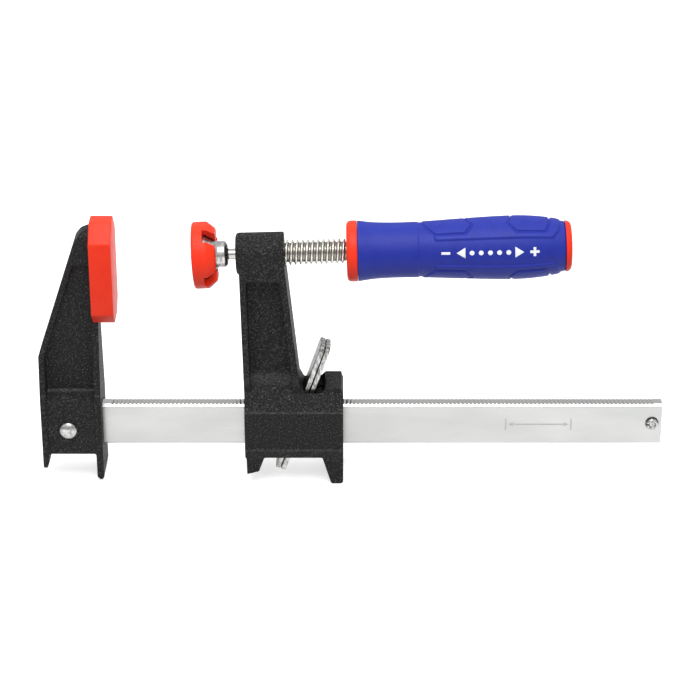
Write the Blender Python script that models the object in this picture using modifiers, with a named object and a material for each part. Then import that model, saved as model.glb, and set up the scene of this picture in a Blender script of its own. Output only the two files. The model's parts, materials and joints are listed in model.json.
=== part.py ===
"""F clamp: a toothed rail with a riveted fixed jaw, an arm that slides and locks, and a screw spindle.

The origin is the centre of the fixed pad's clamping face. +X runs along the rail to its free end,
+Z points from the rail to the spindle, and Y is the width. Sizes are in metres.
"""

import math

import bmesh
import bpy
from mathutils import Matrix

MM = 0.001
DEGREE = math.pi / 180

# Clearances between neighbouring pieces, and how far helper shapes reach past what they cut or join
FIT_GAP = 0.3 * MM
SLIDE_GAP = 0.4 * MM
CUT_OVERRUN = 4.0 * MM
JOIN_OVERLAP = 1.0 * MM
FACE_STEP = 0.1 * MM

# Rail
RAIL_HEIGHT = 17.7 * MM
RAIL_THICKNESS = 6.3 * MM
RAIL_EDGE = 1.1 * MM
RAIL_LENGTH = 245.8 * MM
RAIL_END_INSET = 0.5 * MM
TOOTH_PITCH = 1.6 * MM
TOOTH_DEPTH = 0.35 * MM
TOOTH_MARGIN = 3.0 * MM
TOOTH_RISE = 0.05 * MM
TOOTH_OVERCUT = 0.5 * MM
THROAT = 57.2 * MM
RAIL_AXIS_Z = -(THROAT + RAIL_HEIGHT / 2)

# Stop pin at the free end of the rail
STOP_PIN_DIAMETER = 4.6 * MM
STOP_PIN_BORE = 2.6 * MM
STOP_PIN_LENGTH = 9.6 * MM
STOP_PIN_SLOT = 0.7 * MM
STOP_PIN_EDGE = 0.4 * MM
STOP_PIN_FROM_END = 3.9 * MM
STOP_PIN_RISE = 0.6 * MM

# Fixed jaw
JAW_DEPTH = 24.0 * MM
JAW_WIDTH = 19.0 * MM
JAW_HEAD_WIDTH = 10.0 * MM
JAW_HEAD_TOP = 17.6 * MM
JAW_HEAD_DEPTH = 6.2 * MM
JAW_HEAD_CORNER = 2.5 * MM
JAW_CROWN_DROP = 4.4 * MM
JAW_CROWN_EDGE = 1.5 * MM
JAW_CROWN_STEP = 0.6 * MM
JAW_CROWN_BACK = 1.7 * MM
JAW_SHOULDER_Z = -34.8 * MM
JAW_FLANGE = 2.5 * MM
JAW_WEB = 6.0 * MM
JAW_WEB_TOP = 3.2 * MM
JAW_WEB_DRAFT = 0.25 * MM
JAW_BASE_RECESS = 1.0 * MM
JAW_BASE_WALL = 1.8 * MM
JAW_BASE_INSET = 0.8 * MM
JAW_BASE_ABOVE = 4.0 * MM
JAW_BASE_RAMP = 2.8 * MM
JAW_REAR_FOOT = 5.7 * MM
JAW_FRONT_FOOT = 10.9 * MM
JAW_FOOT_THICKNESS = 2.7 * MM
JAW_FOOT_FILLET = 2.0 * MM
JAW_FOOT_CORNER = 1.2 * MM
JAW_FOOT_TIP = 0.8 * MM
REAR_FOOT_TAPER = 1.0 * MM
REAR_FOOT_SPREAD = 0.9 * MM

# Rivet through the jaw and the rail
RIVET_SHANK = 4.8 * MM
RIVET_HEAD = 7.1 * MM
RIVET_HEAD_HEIGHT = 1.6 * MM
RIVET_FROM_FACE = 13.4 * MM

# Pad on the fixed jaw
PAD_WIDTH = 20.5 * MM
PAD_HEIGHT = 41.6 * MM
PAD_CORNER = 6.7 * MM
PAD_THICKNESS = 6.7 * MM
PAD_SKIRT = 2.0 * MM
PAD_EDGE = 0.5 * MM

# Sliding arm, measured from its front face on the rail's centre line
ARM_X = 50.1 * MM
ARM_LENGTH = 38.7 * MM
ARM_WIDTH = 26.0 * MM
ARM_LEAN = 1.24 * DEGREE
ARM_WALL_ABOVE = 1.05 * MM
ARM_ROOF_Z = RAIL_HEIGHT / 2 + 7.45 * MM
ARM_SIDE_TOP_Z = RAIL_HEIGHT / 2 + ARM_WALL_ABOVE
ARM_SIDE_LOW_Z = -RAIL_HEIGHT / 2 + 2.45 * MM
ARM_FLOOR_Z = -RAIL_HEIGHT / 2 - 1.85 * MM
ARM_FLOOR_INSET = 1.2 * MM
COLUMN_WIDTH = 16.5 * MM
COLUMN_TOP_DEPTH = 17.4 * MM
COLUMN_FILLET = 3.4 * MM
COLUMN_WEB = 7.0 * MM
COLUMN_FLANGE = 2.6 * MM
COLUMN_WEB_GAP = 0.6 * MM
LUG_LENGTH = 7.0 * MM
LUG_RISE = 2.1 * MM
LUG_DRAFT = 0.7 * MM
LUG_UNDERCUT = 1.5 * MM
ARM_REAR_FOOT = 7.4 * MM
ARM_FRONT_FOOT = 11.6 * MM
REAR_FOOT_LENGTH = 7.2 * MM
REAR_FOOT_TIP = 5.0 * MM
REAR_FOOT_SLOPE = 1.3 * MM
FRONT_FOOT_LENGTH = 8.3 * MM
FRONT_FOOT_TIP = 5.0 * MM
FRONT_FOOT_CORNER = 0.6 * MM
FRONT_FOOT_EDGE = 0.8 * MM
FOOT_SIDE_INSET = 0.2 * MM
RAMP_INSET = 0.6 * MM

# Clutch plates, their pocket and their spring
PLATE_LEAN = 19.0 * DEGREE
PLATE_THICKNESS = 1.9 * MM
PLATE_WIDTH = 10.8 * MM
PLATE_ABOVE = 20.4 * MM
PLATE_BELOW = 36.4 * MM
PLATE_CORNER = 2.5 * MM
PLATE_LOW_CORNER = 0.8 * MM
POCKET_LEFT = 23.1 * MM
POCKET_SIDE_GAP = 0.35 * MM
PLATE_COUNT = 2
SPRING_DIAMETER = 4.0 * MM
SPRING_WIRE = 0.6 * MM
SPRING_COILS = 4
SPRING_STEPS = 12
SPRING_ABOVE_RAIL = 3.6 * MM

# Spindle: distances along its axis from the centre of the ball, + towards the handle
SPINDLE_TILT = 1.5 * DEGREE
SPINDLE_RISE = 5.0 * MM
BALL_X = 41.8 * MM
BALL_DIAMETER = 7.0 * MM
NECK_DIAMETER = 4.2 * MM
NECK_TAIL = 5.5 * MM
THREAD_START = 8.5 * MM
THREAD_DIAMETER = 9.8 * MM
THREAD_PITCH = 2.0 * MM
THREAD_DEPTH = 1.1 * MM
THREAD_CREST = 0.5 * MM
THREAD_ROOT_LAND = 0.5 * MM
THREAD_STEPS = 16
THREAD_RUN_IN = 0.8 * MM
THREAD_SINK = 0.35 * MM
THREAD_LEAD_IN = 0.4 * MM
TANG_DIAMETER = 7.0 * MM
TANG_LENGTH = 44.0 * MM
BOSS_LENGTH = 18.7 * MM
BOSS_OVERHANG = 1.1 * MM
BOSS_EDGE = 1.2 * MM

# Swivel cup and pad, measured from the centre of the ball, + towards the spindle
SWIVEL_TILT = 3.0 * DEGREE
CUP_DIAMETER = 10.2 * MM
CUP_BACK = 2.5 * MM
CUP_CRIMP = 1.1 * MM
CUP_FLARE_START = -1.6 * MM
CUP_FLARE_END = -5.9 * MM
CUP_FLARE_DIAMETER = 19.0 * MM
CUP_PLATE = 1.2 * MM
SWIVEL_PAD_DIAMETER = 26.0 * MM
SWIVEL_PAD_FACE = -10.9 * MM
SWIVEL_PAD_SHOULDER = -5.2 * MM
SWIVEL_PAD_BACK = -1.8 * MM
SWIVEL_PAD_CHAMFER = 2.8 * MM
SWIVEL_PAD_RIM = 0.8 * MM
SWIVEL_PAD_EDGE = 0.4 * MM
PAD_MOUTH_GAP = 0.4 * MM
PAD_SLOT_WIDTH = 5.6 * MM
PAD_SLOT_DEPTH = 4.8 * MM
PAD_SLOT_COUNT = 4
PAD_SLOT_TURN = 33.0 * DEGREE
PAD_SLOT_INWARD = 5.0 * MM

# Handle, measured from its front face
HANDLE_START = 48.4 * MM
HANDLE_LENGTH = 86.7 * MM
COLLAR_DIAMETER = 23.7 * MM
COLLAR_LENGTH = 4.2 * MM
COLLAR_EDGE = 1.8 * MM
CORE_DIAMETER = 16.0 * MM
BUTTON_DIAMETER = 20.0 * MM
BUTTON_LENGTH = 2.4 * MM
BUTTON_EDGE = 1.4 * MM
GRIP_RELIEF = 0.55 * MM
# The grip's diameter at shares of its length
GRIP_SHAPE = (
    (0.00, 23.6 * MM),
    (0.08, 22.1 * MM),
    (0.20, 21.4 * MM),
    (0.33, 21.8 * MM),
    (0.50, 23.3 * MM),
    (0.68, 24.5 * MM),
    (0.80, 24.6 * MM),
    (0.91, 23.0 * MM),
    (1.00, 20.2 * MM),
)
# Its two slanted grooves, and the ends of the recessed band, as shares of its length
GRIP_GROOVES = (0.485, 0.715)
GRIP_GROOVE_WIDTH = 1.8 * MM
GRIP_RELIEF_ENDS = (0.315, 0.885)

# Facets of round pieces
ROUND_STEPS = 48
SMALL_STEPS = 24
ARC_STEPS = 4
BALL_STEPS = 8

clamp_parts = bpy.data.collections.new("f_clamp")
cutters = bpy.data.collections.new("cutters")


def clear_scene():
    """Leaves an empty scene with one collection for the clamp and one for its cutters."""
    for obj in list(bpy.data.objects):
        bpy.data.objects.remove(obj, do_unlink=True)
    bpy.context.scene.collection.children.link(clamp_parts)
    bpy.context.scene.collection.children.link(cutters)
    cutters.hide_render = True


def material(name, colour, roughness, metallic):
    made = bpy.data.materials.new(name)
    made.use_nodes = True
    shader = made.node_tree.nodes["Principled BSDF"]
    shader.inputs["Base Color"].default_value = (*colour, 1.0)
    shader.inputs["Roughness"].default_value = roughness
    shader.inputs["Metallic"].default_value = metallic
    made.diffuse_color = (*colour, 1.0)
    return made


def frame(name, location, tilt=0.0):
    """An empty that carries pieces: tilt turns it about Y."""
    made = bpy.data.objects.new(name, None)
    made.empty_display_size = 10 * MM
    made.location = location
    made.rotation_euler = (0.0, tilt, 0.0)
    clamp_parts.objects.link(made)
    return made


def place(obj, parent=None, look=None, cutter=False):
    """Puts an object in its collection, on its frame, with its material."""
    target = cutters if cutter else clamp_parts
    for held in list(obj.users_collection):
        held.objects.unlink(obj)
    target.objects.link(obj)
    obj.parent = parent
    if cutter:
        obj.hide_render = True
        obj.display_type = "WIRE"
    if look:
        obj.data.materials.clear()
        obj.data.materials.append(look)
    return obj


def real_mesh(obj, name):
    """The object's evaluated shape as a plain mesh object, welded, in place of the object."""
    bpy.context.view_layer.update()
    graph = bpy.context.evaluated_depsgraph_get()
    mesh = bpy.data.meshes.new_from_object(obj.evaluated_get(graph))
    matrix = obj.matrix_world.copy()
    bpy.data.objects.remove(obj, do_unlink=True)
    shape = bmesh.new()
    shape.from_mesh(mesh)
    bmesh.ops.remove_doubles(shape, verts=shape.verts, dist=0.001 * MM)
    bmesh.ops.recalc_face_normals(shape, faces=shape.faces)
    shape.to_mesh(mesh)
    shape.free()
    mesh.name = name
    made = bpy.data.objects.new(name, mesh)
    made.matrix_world = matrix
    bpy.context.scene.collection.objects.link(made)
    return made


ACROSS_Y = Matrix(((1, 0, 0), (0, 0, -1), (0, 1, 0))).to_4x4()
ACROSS_X = Matrix(((0, 0, 1), (1, 0, 0), (0, 1, 0))).to_4x4()


def prism(name, outlines, start, end, turn):
    """A flat outline, with any holes in it, made solid from start to end along the turned Z axis."""
    curve = bpy.data.curves.new(name, "CURVE")
    curve.dimensions = "2D"
    curve.fill_mode = "BOTH"
    curve.extrude = abs(end - start) / 2
    for outline in outlines:
        spline = curve.splines.new("POLY")
        spline.points.add(len(outline) - 1)
        for point, corner in zip(spline.points, outline):
            point.co = (corner[0], corner[1], 0.0, 1.0)
        spline.use_cyclic_u = True
    flat = bpy.data.objects.new(name, curve)
    bpy.context.scene.collection.objects.link(flat)
    made = real_mesh(flat, name)
    made.data.transform(turn @ Matrix.Translation((0.0, 0.0, (start + end) / 2)))
    return made


def side_prism(name, outline, start, end):
    """An (X, Z) outline made solid from Y = start to Y = end."""
    return prism(name, [outline], -end, -start, ACROSS_Y)


def cross_prism(name, outlines, start, end):
    """(Y, Z) outlines made solid from X = start to X = end."""
    return prism(name, outlines, start, end, ACROSS_X)


def turned(name, profile, steps=ROUND_STEPS, along="X"):
    """A profile of (distance along the axis, radius) points, turned about X or Y."""
    mesh = bpy.data.meshes.new(name)
    points = [(radius, 0.0, -distance) for distance, radius in profile]
    edges = [(i, i + 1) for i in range(len(points) - 1)]
    mesh.from_pydata(points, edges, [])
    made = bpy.data.objects.new(name, mesh)
    bpy.context.scene.collection.objects.link(made)
    screw = made.modifiers.new("Turn", "SCREW")
    screw.steps = steps
    screw.render_steps = steps
    screw.use_merge_vertices = True
    screw.merge_threshold = 0.01 * MM
    made = real_mesh(made, name)
    turn = Matrix.Rotation(-90 * DEGREE, 4, "Y")
    if along == "Y":
        turn = Matrix.Rotation(90 * DEGREE, 4, "X")
    made.data.transform(turn)
    made.data.shade_smooth()
    made.data.set_sharp_from_angle(angle=35 * DEGREE)
    return made


def rod(name, start, end, diameter, steps=SMALL_STEPS, along="X"):
    radius = diameter / 2
    return turned(name, [(start, 0.0), (start, radius), (end, radius), (end, 0.0)], steps, along)


def boolean(obj, operation, other, parent=None):
    """Joins or cuts obj with another shape, which becomes a hidden helper."""
    place(other, parent, cutter=True)
    step = obj.modifiers.new(other.name, "BOOLEAN")
    step.operation = operation
    step.solver = "EXACT"
    step.object = other
    return obj


def cut(obj, *others, parent=None):
    for other in others:
        boolean(obj, "DIFFERENCE", other, parent)
    return obj


def join(obj, *others, parent=None):
    for other in others:
        boolean(obj, "UNION", other, parent)
    return obj


def arc(centre, radius, start, end, steps=ARC_STEPS):
    """Points on an arc from angle start to angle end."""
    angles = [start + (end - start) * i / steps for i in range(steps + 1)]
    return [(centre[0] + radius * math.cos(a), centre[1] + radius * math.sin(a)) for a in angles]


def mirrored(half):
    """A closed outline from its right half, which runs from one end of the mirror line to the other."""
    return list(half) + [(-x, z) for x, z in reversed(half) if x > 0]


def shift(points, dx, dz):
    return [(x + dx, z + dz) for x, z in points]


clear_scene()

black_casting = material("black_casting", (0.028, 0.028, 0.028), 0.62, 0.3)
bright_steel = material("bright_steel", (0.72, 0.72, 0.70), 0.3, 1.0)
red_plastic = material("red_plastic", (0.93, 0.035, 0.012), 0.42, 0.0)
blue_rubber = material("blue_rubber", (0.035, 0.045, 0.38), 0.55, 0.0)
thread_steel = material("thread_steel", (0.55, 0.54, 0.51), 0.35, 1.0)

# ---- Fixed jaw ----
jaw_face_x = -PAD_THICKNESS
jaw_back_x = jaw_face_x - JAW_DEPTH
jaw_window_low = RAIL_AXIS_Z - RAIL_HEIGHT / 2
jaw_floor = jaw_window_low - JAW_BASE_WALL
jaw_head_back = jaw_face_x - JAW_HEAD_DEPTH
jaw_foot_back = jaw_face_x - JAW_FOOT_THICKNESS
jaw_foot_low = jaw_floor - JAW_FRONT_FOOT
jaw_side = [
    (jaw_face_x, JAW_HEAD_TOP),
    (jaw_head_back + JAW_HEAD_DEPTH / 2, JAW_HEAD_TOP),
    (jaw_head_back + JAW_CROWN_STEP, JAW_HEAD_TOP - JAW_CROWN_EDGE),
    (jaw_head_back - JAW_CROWN_BACK, JAW_HEAD_TOP - JAW_CROWN_DROP),
    (jaw_back_x, JAW_SHOULDER_Z),
    (jaw_back_x, jaw_floor - JAW_REAR_FOOT),
    (jaw_back_x + JAW_FOOT_THICKNESS - REAR_FOOT_TAPER, jaw_floor - JAW_REAR_FOOT),
    (jaw_back_x + JAW_FOOT_THICKNESS + REAR_FOOT_SPREAD, jaw_floor),
    (jaw_foot_back - JAW_FOOT_FILLET, jaw_floor),
    (jaw_foot_back, jaw_floor - JAW_FOOT_FILLET),
    (jaw_foot_back, jaw_foot_low + JAW_FOOT_CORNER),
    (jaw_foot_back + JAW_FOOT_CORNER, jaw_foot_low),
    (jaw_face_x - JAW_FOOT_TIP, jaw_foot_low),
    (jaw_face_x, jaw_foot_low + JAW_FOOT_TIP),
]
jaw_base_half = JAW_WIDTH / 2 - JAW_BASE_RECESS
jaw_base_top = RAIL_AXIS_Z + RAIL_HEIGHT / 2 + JAW_BASE_ABOVE
jaw_front = mirrored([
    (JAW_WIDTH / 2, jaw_foot_low - CUT_OVERRUN),
    (JAW_WIDTH / 2, jaw_base_top),
    (JAW_HEAD_WIDTH / 2, -PAD_HEIGHT / 2),
    (JAW_HEAD_WIDTH / 2, JAW_HEAD_TOP - JAW_HEAD_CORNER),
    (JAW_HEAD_WIDTH / 2 - JAW_HEAD_CORNER, JAW_HEAD_TOP + FACE_STEP),
])
jaw_blank_half = JAW_WIDTH / 2 + JOIN_OVERLAP
fixed_jaw = side_prism("fixed_jaw", jaw_side, -jaw_blank_half, jaw_blank_half)
jaw_width_limit = cross_prism(
    "jaw_width_limit", [jaw_front], jaw_back_x - CUT_OVERRUN, jaw_face_x + CUT_OVERRUN
)
boolean(fixed_jaw, "INTERSECT", jaw_width_limit)
jaw_slope_rise = JAW_HEAD_TOP - JAW_CROWN_DROP - JAW_SHOULDER_Z
jaw_slope = (jaw_head_back - JAW_CROWN_BACK - jaw_back_x) / jaw_slope_rise
jaw_web_left = jaw_back_x + JAW_FLANGE
jaw_recess = [
    (jaw_face_x - JAW_FLANGE, JAW_WEB_TOP),
    (jaw_web_left + (JAW_WEB_TOP - JAW_SHOULDER_Z) * jaw_slope, JAW_WEB_TOP),
    (jaw_web_left, JAW_SHOULDER_Z),
    (jaw_web_left, jaw_foot_low - CUT_OVERRUN),
    (jaw_face_x - JAW_FLANGE - JAW_WEB_DRAFT, jaw_foot_low - CUT_OVERRUN),
]
for side, sign in (("front", -1), ("back", 1)):
    reach = sorted((sign * JAW_WEB / 2, sign * (JAW_WIDTH / 2 + CUT_OVERRUN)))
    cut(fixed_jaw, side_prism("jaw_recess_" + side, jaw_recess, *reach))
jaw_base = mirrored([
    (jaw_base_half, jaw_floor),
    (jaw_base_half, jaw_base_top),
    (JAW_WEB / 2 - FACE_STEP, jaw_base_top + JAW_BASE_RAMP),
])
join(
    fixed_jaw,
    cross_prism(
        "jaw_base", [jaw_base], jaw_back_x + JAW_BASE_INSET, jaw_face_x - JAW_BASE_INSET
    ),
)
rail_window = mirrored([
    (RAIL_THICKNESS / 2 + FIT_GAP, jaw_window_low - FIT_GAP),
    (RAIL_THICKNESS / 2 + FIT_GAP, RAIL_AXIS_Z + RAIL_HEIGHT / 2 + FIT_GAP),
])
rivet_x = jaw_face_x - RIVET_FROM_FACE
rivet_hole = rod(
    "rivet_hole", -JAW_WIDTH, JAW_WIDTH, RIVET_SHANK + 2 * FIT_GAP, SMALL_STEPS, "Y"
)
rivet_hole.data.transform(Matrix.Translation((rivet_x, 0.0, RAIL_AXIS_Z)))
cut(
    fixed_jaw,
    cross_prism(
        "jaw_rail_window", [rail_window], jaw_back_x - CUT_OVERRUN, jaw_face_x + CUT_OVERRUN
    ),
    rivet_hole,
)
place(fixed_jaw, look=black_casting)

# ---- Rail ----
rail_start = jaw_back_x + RAIL_END_INSET
rail_end = rail_start + RAIL_LENGTH
half_height = RAIL_HEIGHT / 2
half_thick = RAIL_THICKNESS / 2
rail_section = mirrored([
    (half_thick - RAIL_EDGE, -half_height),
    (half_thick, -half_height + RAIL_EDGE),
    (half_thick, half_height - RAIL_EDGE),
    (half_thick - RAIL_EDGE, half_height),
])
rail = cross_prism("rail", [shift(rail_section, 0.0, RAIL_AXIS_Z)], rail_start, rail_end)
tooth_count = int((rail_end - jaw_face_x - 2 * TOOTH_MARGIN) / TOOTH_PITCH)
rail_top = RAIL_AXIS_Z + half_height
first_tooth = jaw_face_x + TOOTH_MARGIN
last_tooth = first_tooth + tooth_count * TOOTH_PITCH
comb = [(last_tooth, rail_top + JOIN_OVERLAP), (first_tooth, rail_top + JOIN_OVERLAP)]
for tooth in range(tooth_count):
    tooth_x = first_tooth + tooth * TOOTH_PITCH
    comb.append((tooth_x, rail_top + TOOTH_RISE))
    comb.append((tooth_x + TOOTH_PITCH / 2, rail_top - TOOTH_DEPTH))
comb.append((last_tooth, rail_top + TOOTH_RISE))
stop_pin_x = rail_end - STOP_PIN_FROM_END
stop_pin_z = RAIL_AXIS_Z + STOP_PIN_RISE
stop_pin_bore = STOP_PIN_DIAMETER + 2 * FIT_GAP
stop_pin_hole = rod(
    "stop_pin_hole", -RAIL_THICKNESS, RAIL_THICKNESS, stop_pin_bore, SMALL_STEPS, "Y"
)
stop_pin_hole.data.transform(Matrix.Translation((stop_pin_x, 0.0, stop_pin_z)))
rail_rivet_hole = rod(
    "rail_rivet_hole", -RAIL_THICKNESS, RAIL_THICKNESS, RIVET_SHANK + 2 * FIT_GAP, SMALL_STEPS, "Y"
)
rail_rivet_hole.data.transform(Matrix.Translation((rivet_x, 0.0, RAIL_AXIS_Z)))
comb_half = half_thick - RAIL_EDGE + TOOTH_OVERCUT
cut(rail, side_prism("tooth_comb", comb, -comb_half, comb_half), stop_pin_hole, rail_rivet_hole)
place(rail, look=bright_steel)

# ---- Rivet ----
head_seat = jaw_base_half + FIT_GAP
dome_radius = (RIVET_HEAD**2 / 4 + RIVET_HEAD_HEIGHT**2) / (2 * RIVET_HEAD_HEIGHT)
dome_angle = math.asin(RIVET_HEAD / 2 / dome_radius)
dome = arc((head_seat + RIVET_HEAD_HEIGHT - dome_radius, 0.0), dome_radius, dome_angle, 0.0)
rivet_half = [(head_seat, RIVET_SHANK / 2)] + dome
rivet_profile = [(-y, r) for y, r in reversed(rivet_half)] + rivet_half
rivet_profile[0] = (rivet_profile[0][0], 0.0)
rivet_profile[-1] = (rivet_profile[-1][0], 0.0)
jaw_rivet = place(turned("jaw_rivet", rivet_profile, SMALL_STEPS, "Y"), look=bright_steel)
jaw_rivet.location = (rivet_x, 0.0, RAIL_AXIS_Z)

# ---- Stop pin: a slit tube ----
half_pin = STOP_PIN_LENGTH / 2
pin_outer = STOP_PIN_DIAMETER / 2
pin_inner = STOP_PIN_BORE / 2
pin_profile = [
    (-half_pin, pin_inner),
    (-half_pin, pin_outer - STOP_PIN_EDGE),
    (-half_pin + STOP_PIN_EDGE, pin_outer),
    (half_pin - STOP_PIN_EDGE, pin_outer),
    (half_pin, pin_outer - STOP_PIN_EDGE),
    (half_pin, pin_inner),
    (-half_pin, pin_inner),
]
rail_stop_pin = turned("rail_stop_pin", pin_profile, SMALL_STEPS, "Y")
slit_outline = [
    (0.0, STOP_PIN_SLOT / 2),
    (-STOP_PIN_DIAMETER, STOP_PIN_SLOT / 2),
    (-STOP_PIN_DIAMETER, -STOP_PIN_SLOT / 2),
    (0.0, -STOP_PIN_SLOT / 2),
]
pin_slit = side_prism("pin_slit", slit_outline, -STOP_PIN_LENGTH, STOP_PIN_LENGTH)
cut(rail_stop_pin, pin_slit, parent=rail_stop_pin)
place(rail_stop_pin, look=bright_steel)
rail_stop_pin.location = (stop_pin_x, 0.0, stop_pin_z)

# ---- Pad on the fixed jaw ----
pad_outline = mirrored([
    (PAD_WIDTH / 2 - PAD_CORNER, -PAD_HEIGHT / 2),
    (PAD_WIDTH / 2, -PAD_HEIGHT / 2 + PAD_CORNER),
    (PAD_WIDTH / 2, PAD_HEIGHT / 2 - PAD_CORNER),
    (PAD_WIDTH / 2 - PAD_CORNER, PAD_HEIGHT / 2),
])
fixed_pad = cross_prism("fixed_pad", [pad_outline], jaw_face_x - PAD_SKIRT, 0.0)
pad_round = fixed_pad.modifiers.new("Edges", "BEVEL")
pad_round.width = PAD_EDGE
pad_round.segments = 2
pad_round.limit_method = "ANGLE"
pad_round.angle_limit = 60 * DEGREE
pad_pocket = mirrored([
    (JAW_HEAD_WIDTH / 2 + FIT_GAP, -PAD_HEIGHT / 2 - CUT_OVERRUN),
    (JAW_HEAD_WIDTH / 2 + FIT_GAP, JAW_HEAD_TOP - JAW_HEAD_CORNER + FIT_GAP / 2),
    (JAW_HEAD_WIDTH / 2 - JAW_HEAD_CORNER + FIT_GAP / 2, JAW_HEAD_TOP + FIT_GAP),
])
pocket_back = jaw_face_x - PAD_SKIRT - CUT_OVERRUN
cut(fixed_pad, cross_prism("pad_pocket", [pad_pocket], pocket_back, jaw_face_x + FIT_GAP))
place(fixed_pad, look=red_plastic)

# ---- Sliding arm ----
arm_frame = frame("arm_frame", (ARM_X, 0.0, RAIL_AXIS_Z))
spindle_slope = math.tan(SPINDLE_TILT)
ball_z = SPINDLE_RISE + BALL_X * spindle_slope
boss_height = SPINDLE_RISE + ARM_X * spindle_slope - RAIL_AXIS_Z
lean = math.tan(ARM_LEAN)
front_top = -boss_height * lean
front_low = -ARM_FLOOR_Z * lean
fillet_top = ARM_ROOF_Z + COLUMN_FILLET
rear_low = POCKET_LEFT - 0.5 * COLUMN_FILLET
column_side = [
    (front_top, boss_height),
    (front_low, ARM_FLOOR_Z + JOIN_OVERLAP),
    (rear_low, ARM_FLOOR_Z + JOIN_OVERLAP),
    (rear_low, fillet_top),
    (front_top + COLUMN_TOP_DEPTH, boss_height),
]
sliding_arm = side_prism("sliding_arm", column_side, -COLUMN_WIDTH / 2, COLUMN_WIDTH / 2)
column_taper = (rear_low - front_top - COLUMN_TOP_DEPTH) / (boss_height - fillet_top)
recess_top = boss_height - COLUMN_WIDTH / 2 - COLUMN_WEB_GAP
recess_low = ARM_SIDE_TOP_Z


def column_front(z):
    return -z * lean + COLUMN_FLANGE


def column_rear(z):
    return rear_low - (z - fillet_top) * column_taper - COLUMN_FLANGE


column_recess = [
    (column_front(recess_top), recess_top),
    (column_front(recess_low), recess_low),
    (column_rear(fillet_top), recess_low),
    (column_rear(fillet_top), fillet_top),
    (column_rear(recess_top), recess_top),
]
for side, sign in (("front", -1), ("back", 1)):
    reach = sorted((sign * COLUMN_WEB / 2, sign * (COLUMN_WIDTH / 2 + CUT_OVERRUN)))
    cut(sliding_arm, side_prism("column_recess_" + side, column_recess, *reach), parent=arm_frame)

arm_half = ARM_WIDTH / 2
column_half = COLUMN_WIDTH / 2
roof_slope = (ARM_ROOF_Z - ARM_SIDE_TOP_Z) / (arm_half - column_half)
web_half = COLUMN_WEB / 2 - FACE_STEP
ramp_top = ARM_ROOF_Z + (column_half - web_half) * roof_slope
base_low = [
    (arm_half - ARM_FLOOR_INSET, ARM_FLOOR_Z),
    (arm_half, ARM_SIDE_LOW_Z),
    (arm_half, ARM_SIDE_TOP_Z),
]
base_section = mirrored(base_low + [(column_half, ARM_ROOF_Z)])
ramp_section = mirrored(base_low + [(web_half, ramp_top)])
ramp_end = rear_low - RAMP_INSET
join(
    sliding_arm,
    cross_prism("arm_base", [base_section], -2 * FACE_STEP, ARM_LENGTH),
    cross_prism("arm_ramp", [ramp_section], 3 * FACE_STEP, ramp_end),
    parent=arm_frame,
)
fillet_piece = [
    (rear_low - JOIN_OVERLAP, ARM_ROOF_Z - JOIN_OVERLAP),
    (POCKET_LEFT + JOIN_OVERLAP, ARM_ROOF_Z - JOIN_OVERLAP),
    (POCKET_LEFT + JOIN_OVERLAP, ARM_ROOF_Z),
    (POCKET_LEFT, ARM_ROOF_Z + FACE_STEP),
    (rear_low + COLUMN_FILLET / 3, ARM_ROOF_Z + COLUMN_FILLET * 0.4),
    (rear_low, fillet_top - FACE_STEP),
    (rear_low - JOIN_OVERLAP, fillet_top - FACE_STEP),
]
lug_start = ARM_LENGTH - LUG_LENGTH
lug_piece = [
    (lug_start - LUG_RISE, ARM_ROOF_Z - JOIN_OVERLAP),
    (lug_start - LUG_RISE, ARM_ROOF_Z),
    (lug_start, ARM_ROOF_Z + LUG_RISE),
    (ARM_LENGTH - LUG_DRAFT, ARM_ROOF_Z + LUG_RISE),
    (ARM_LENGTH - FACE_STEP, ARM_ROOF_Z - JOIN_OVERLAP),
]
rear_foot = [
    (front_low, ARM_FLOOR_Z + JOIN_OVERLAP),
    (front_low + 2 * FACE_STEP, ARM_FLOOR_Z - ARM_REAR_FOOT),
    (front_low + REAR_FOOT_TIP, ARM_FLOOR_Z - ARM_REAR_FOOT + REAR_FOOT_SLOPE),
    (front_low + REAR_FOOT_LENGTH, ARM_FLOOR_Z),
    (front_low + REAR_FOOT_LENGTH, ARM_FLOOR_Z + JOIN_OVERLAP),
]
front_foot_low = ARM_FLOOR_Z - ARM_FRONT_FOOT
front_foot = [
    (ARM_LENGTH, ARM_FLOOR_Z + JOIN_OVERLAP),
    (ARM_LENGTH - FRONT_FOOT_LENGTH, ARM_FLOOR_Z + JOIN_OVERLAP),
    (ARM_LENGTH - FRONT_FOOT_LENGTH, ARM_FLOOR_Z),
    (ARM_LENGTH - FRONT_FOOT_TIP, front_foot_low + FRONT_FOOT_CORNER),
    (ARM_LENGTH - FRONT_FOOT_TIP + FRONT_FOOT_CORNER, front_foot_low),
    (ARM_LENGTH - FRONT_FOOT_EDGE, front_foot_low),
    (ARM_LENGTH, front_foot_low + FRONT_FOOT_EDGE),
]
foot_half = arm_half - ARM_FLOOR_INSET - FOOT_SIDE_INSET
top_half = column_half - FACE_STEP / 2
join(
    sliding_arm,
    side_prism("arm_fillet", fillet_piece, -top_half, top_half),
    side_prism("arm_lug", lug_piece, -top_half, top_half),
    side_prism("arm_rear_foot", rear_foot, -foot_half, foot_half),
    side_prism("arm_front_foot", front_foot, -foot_half, foot_half),
    parent=arm_frame,
)

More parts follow.
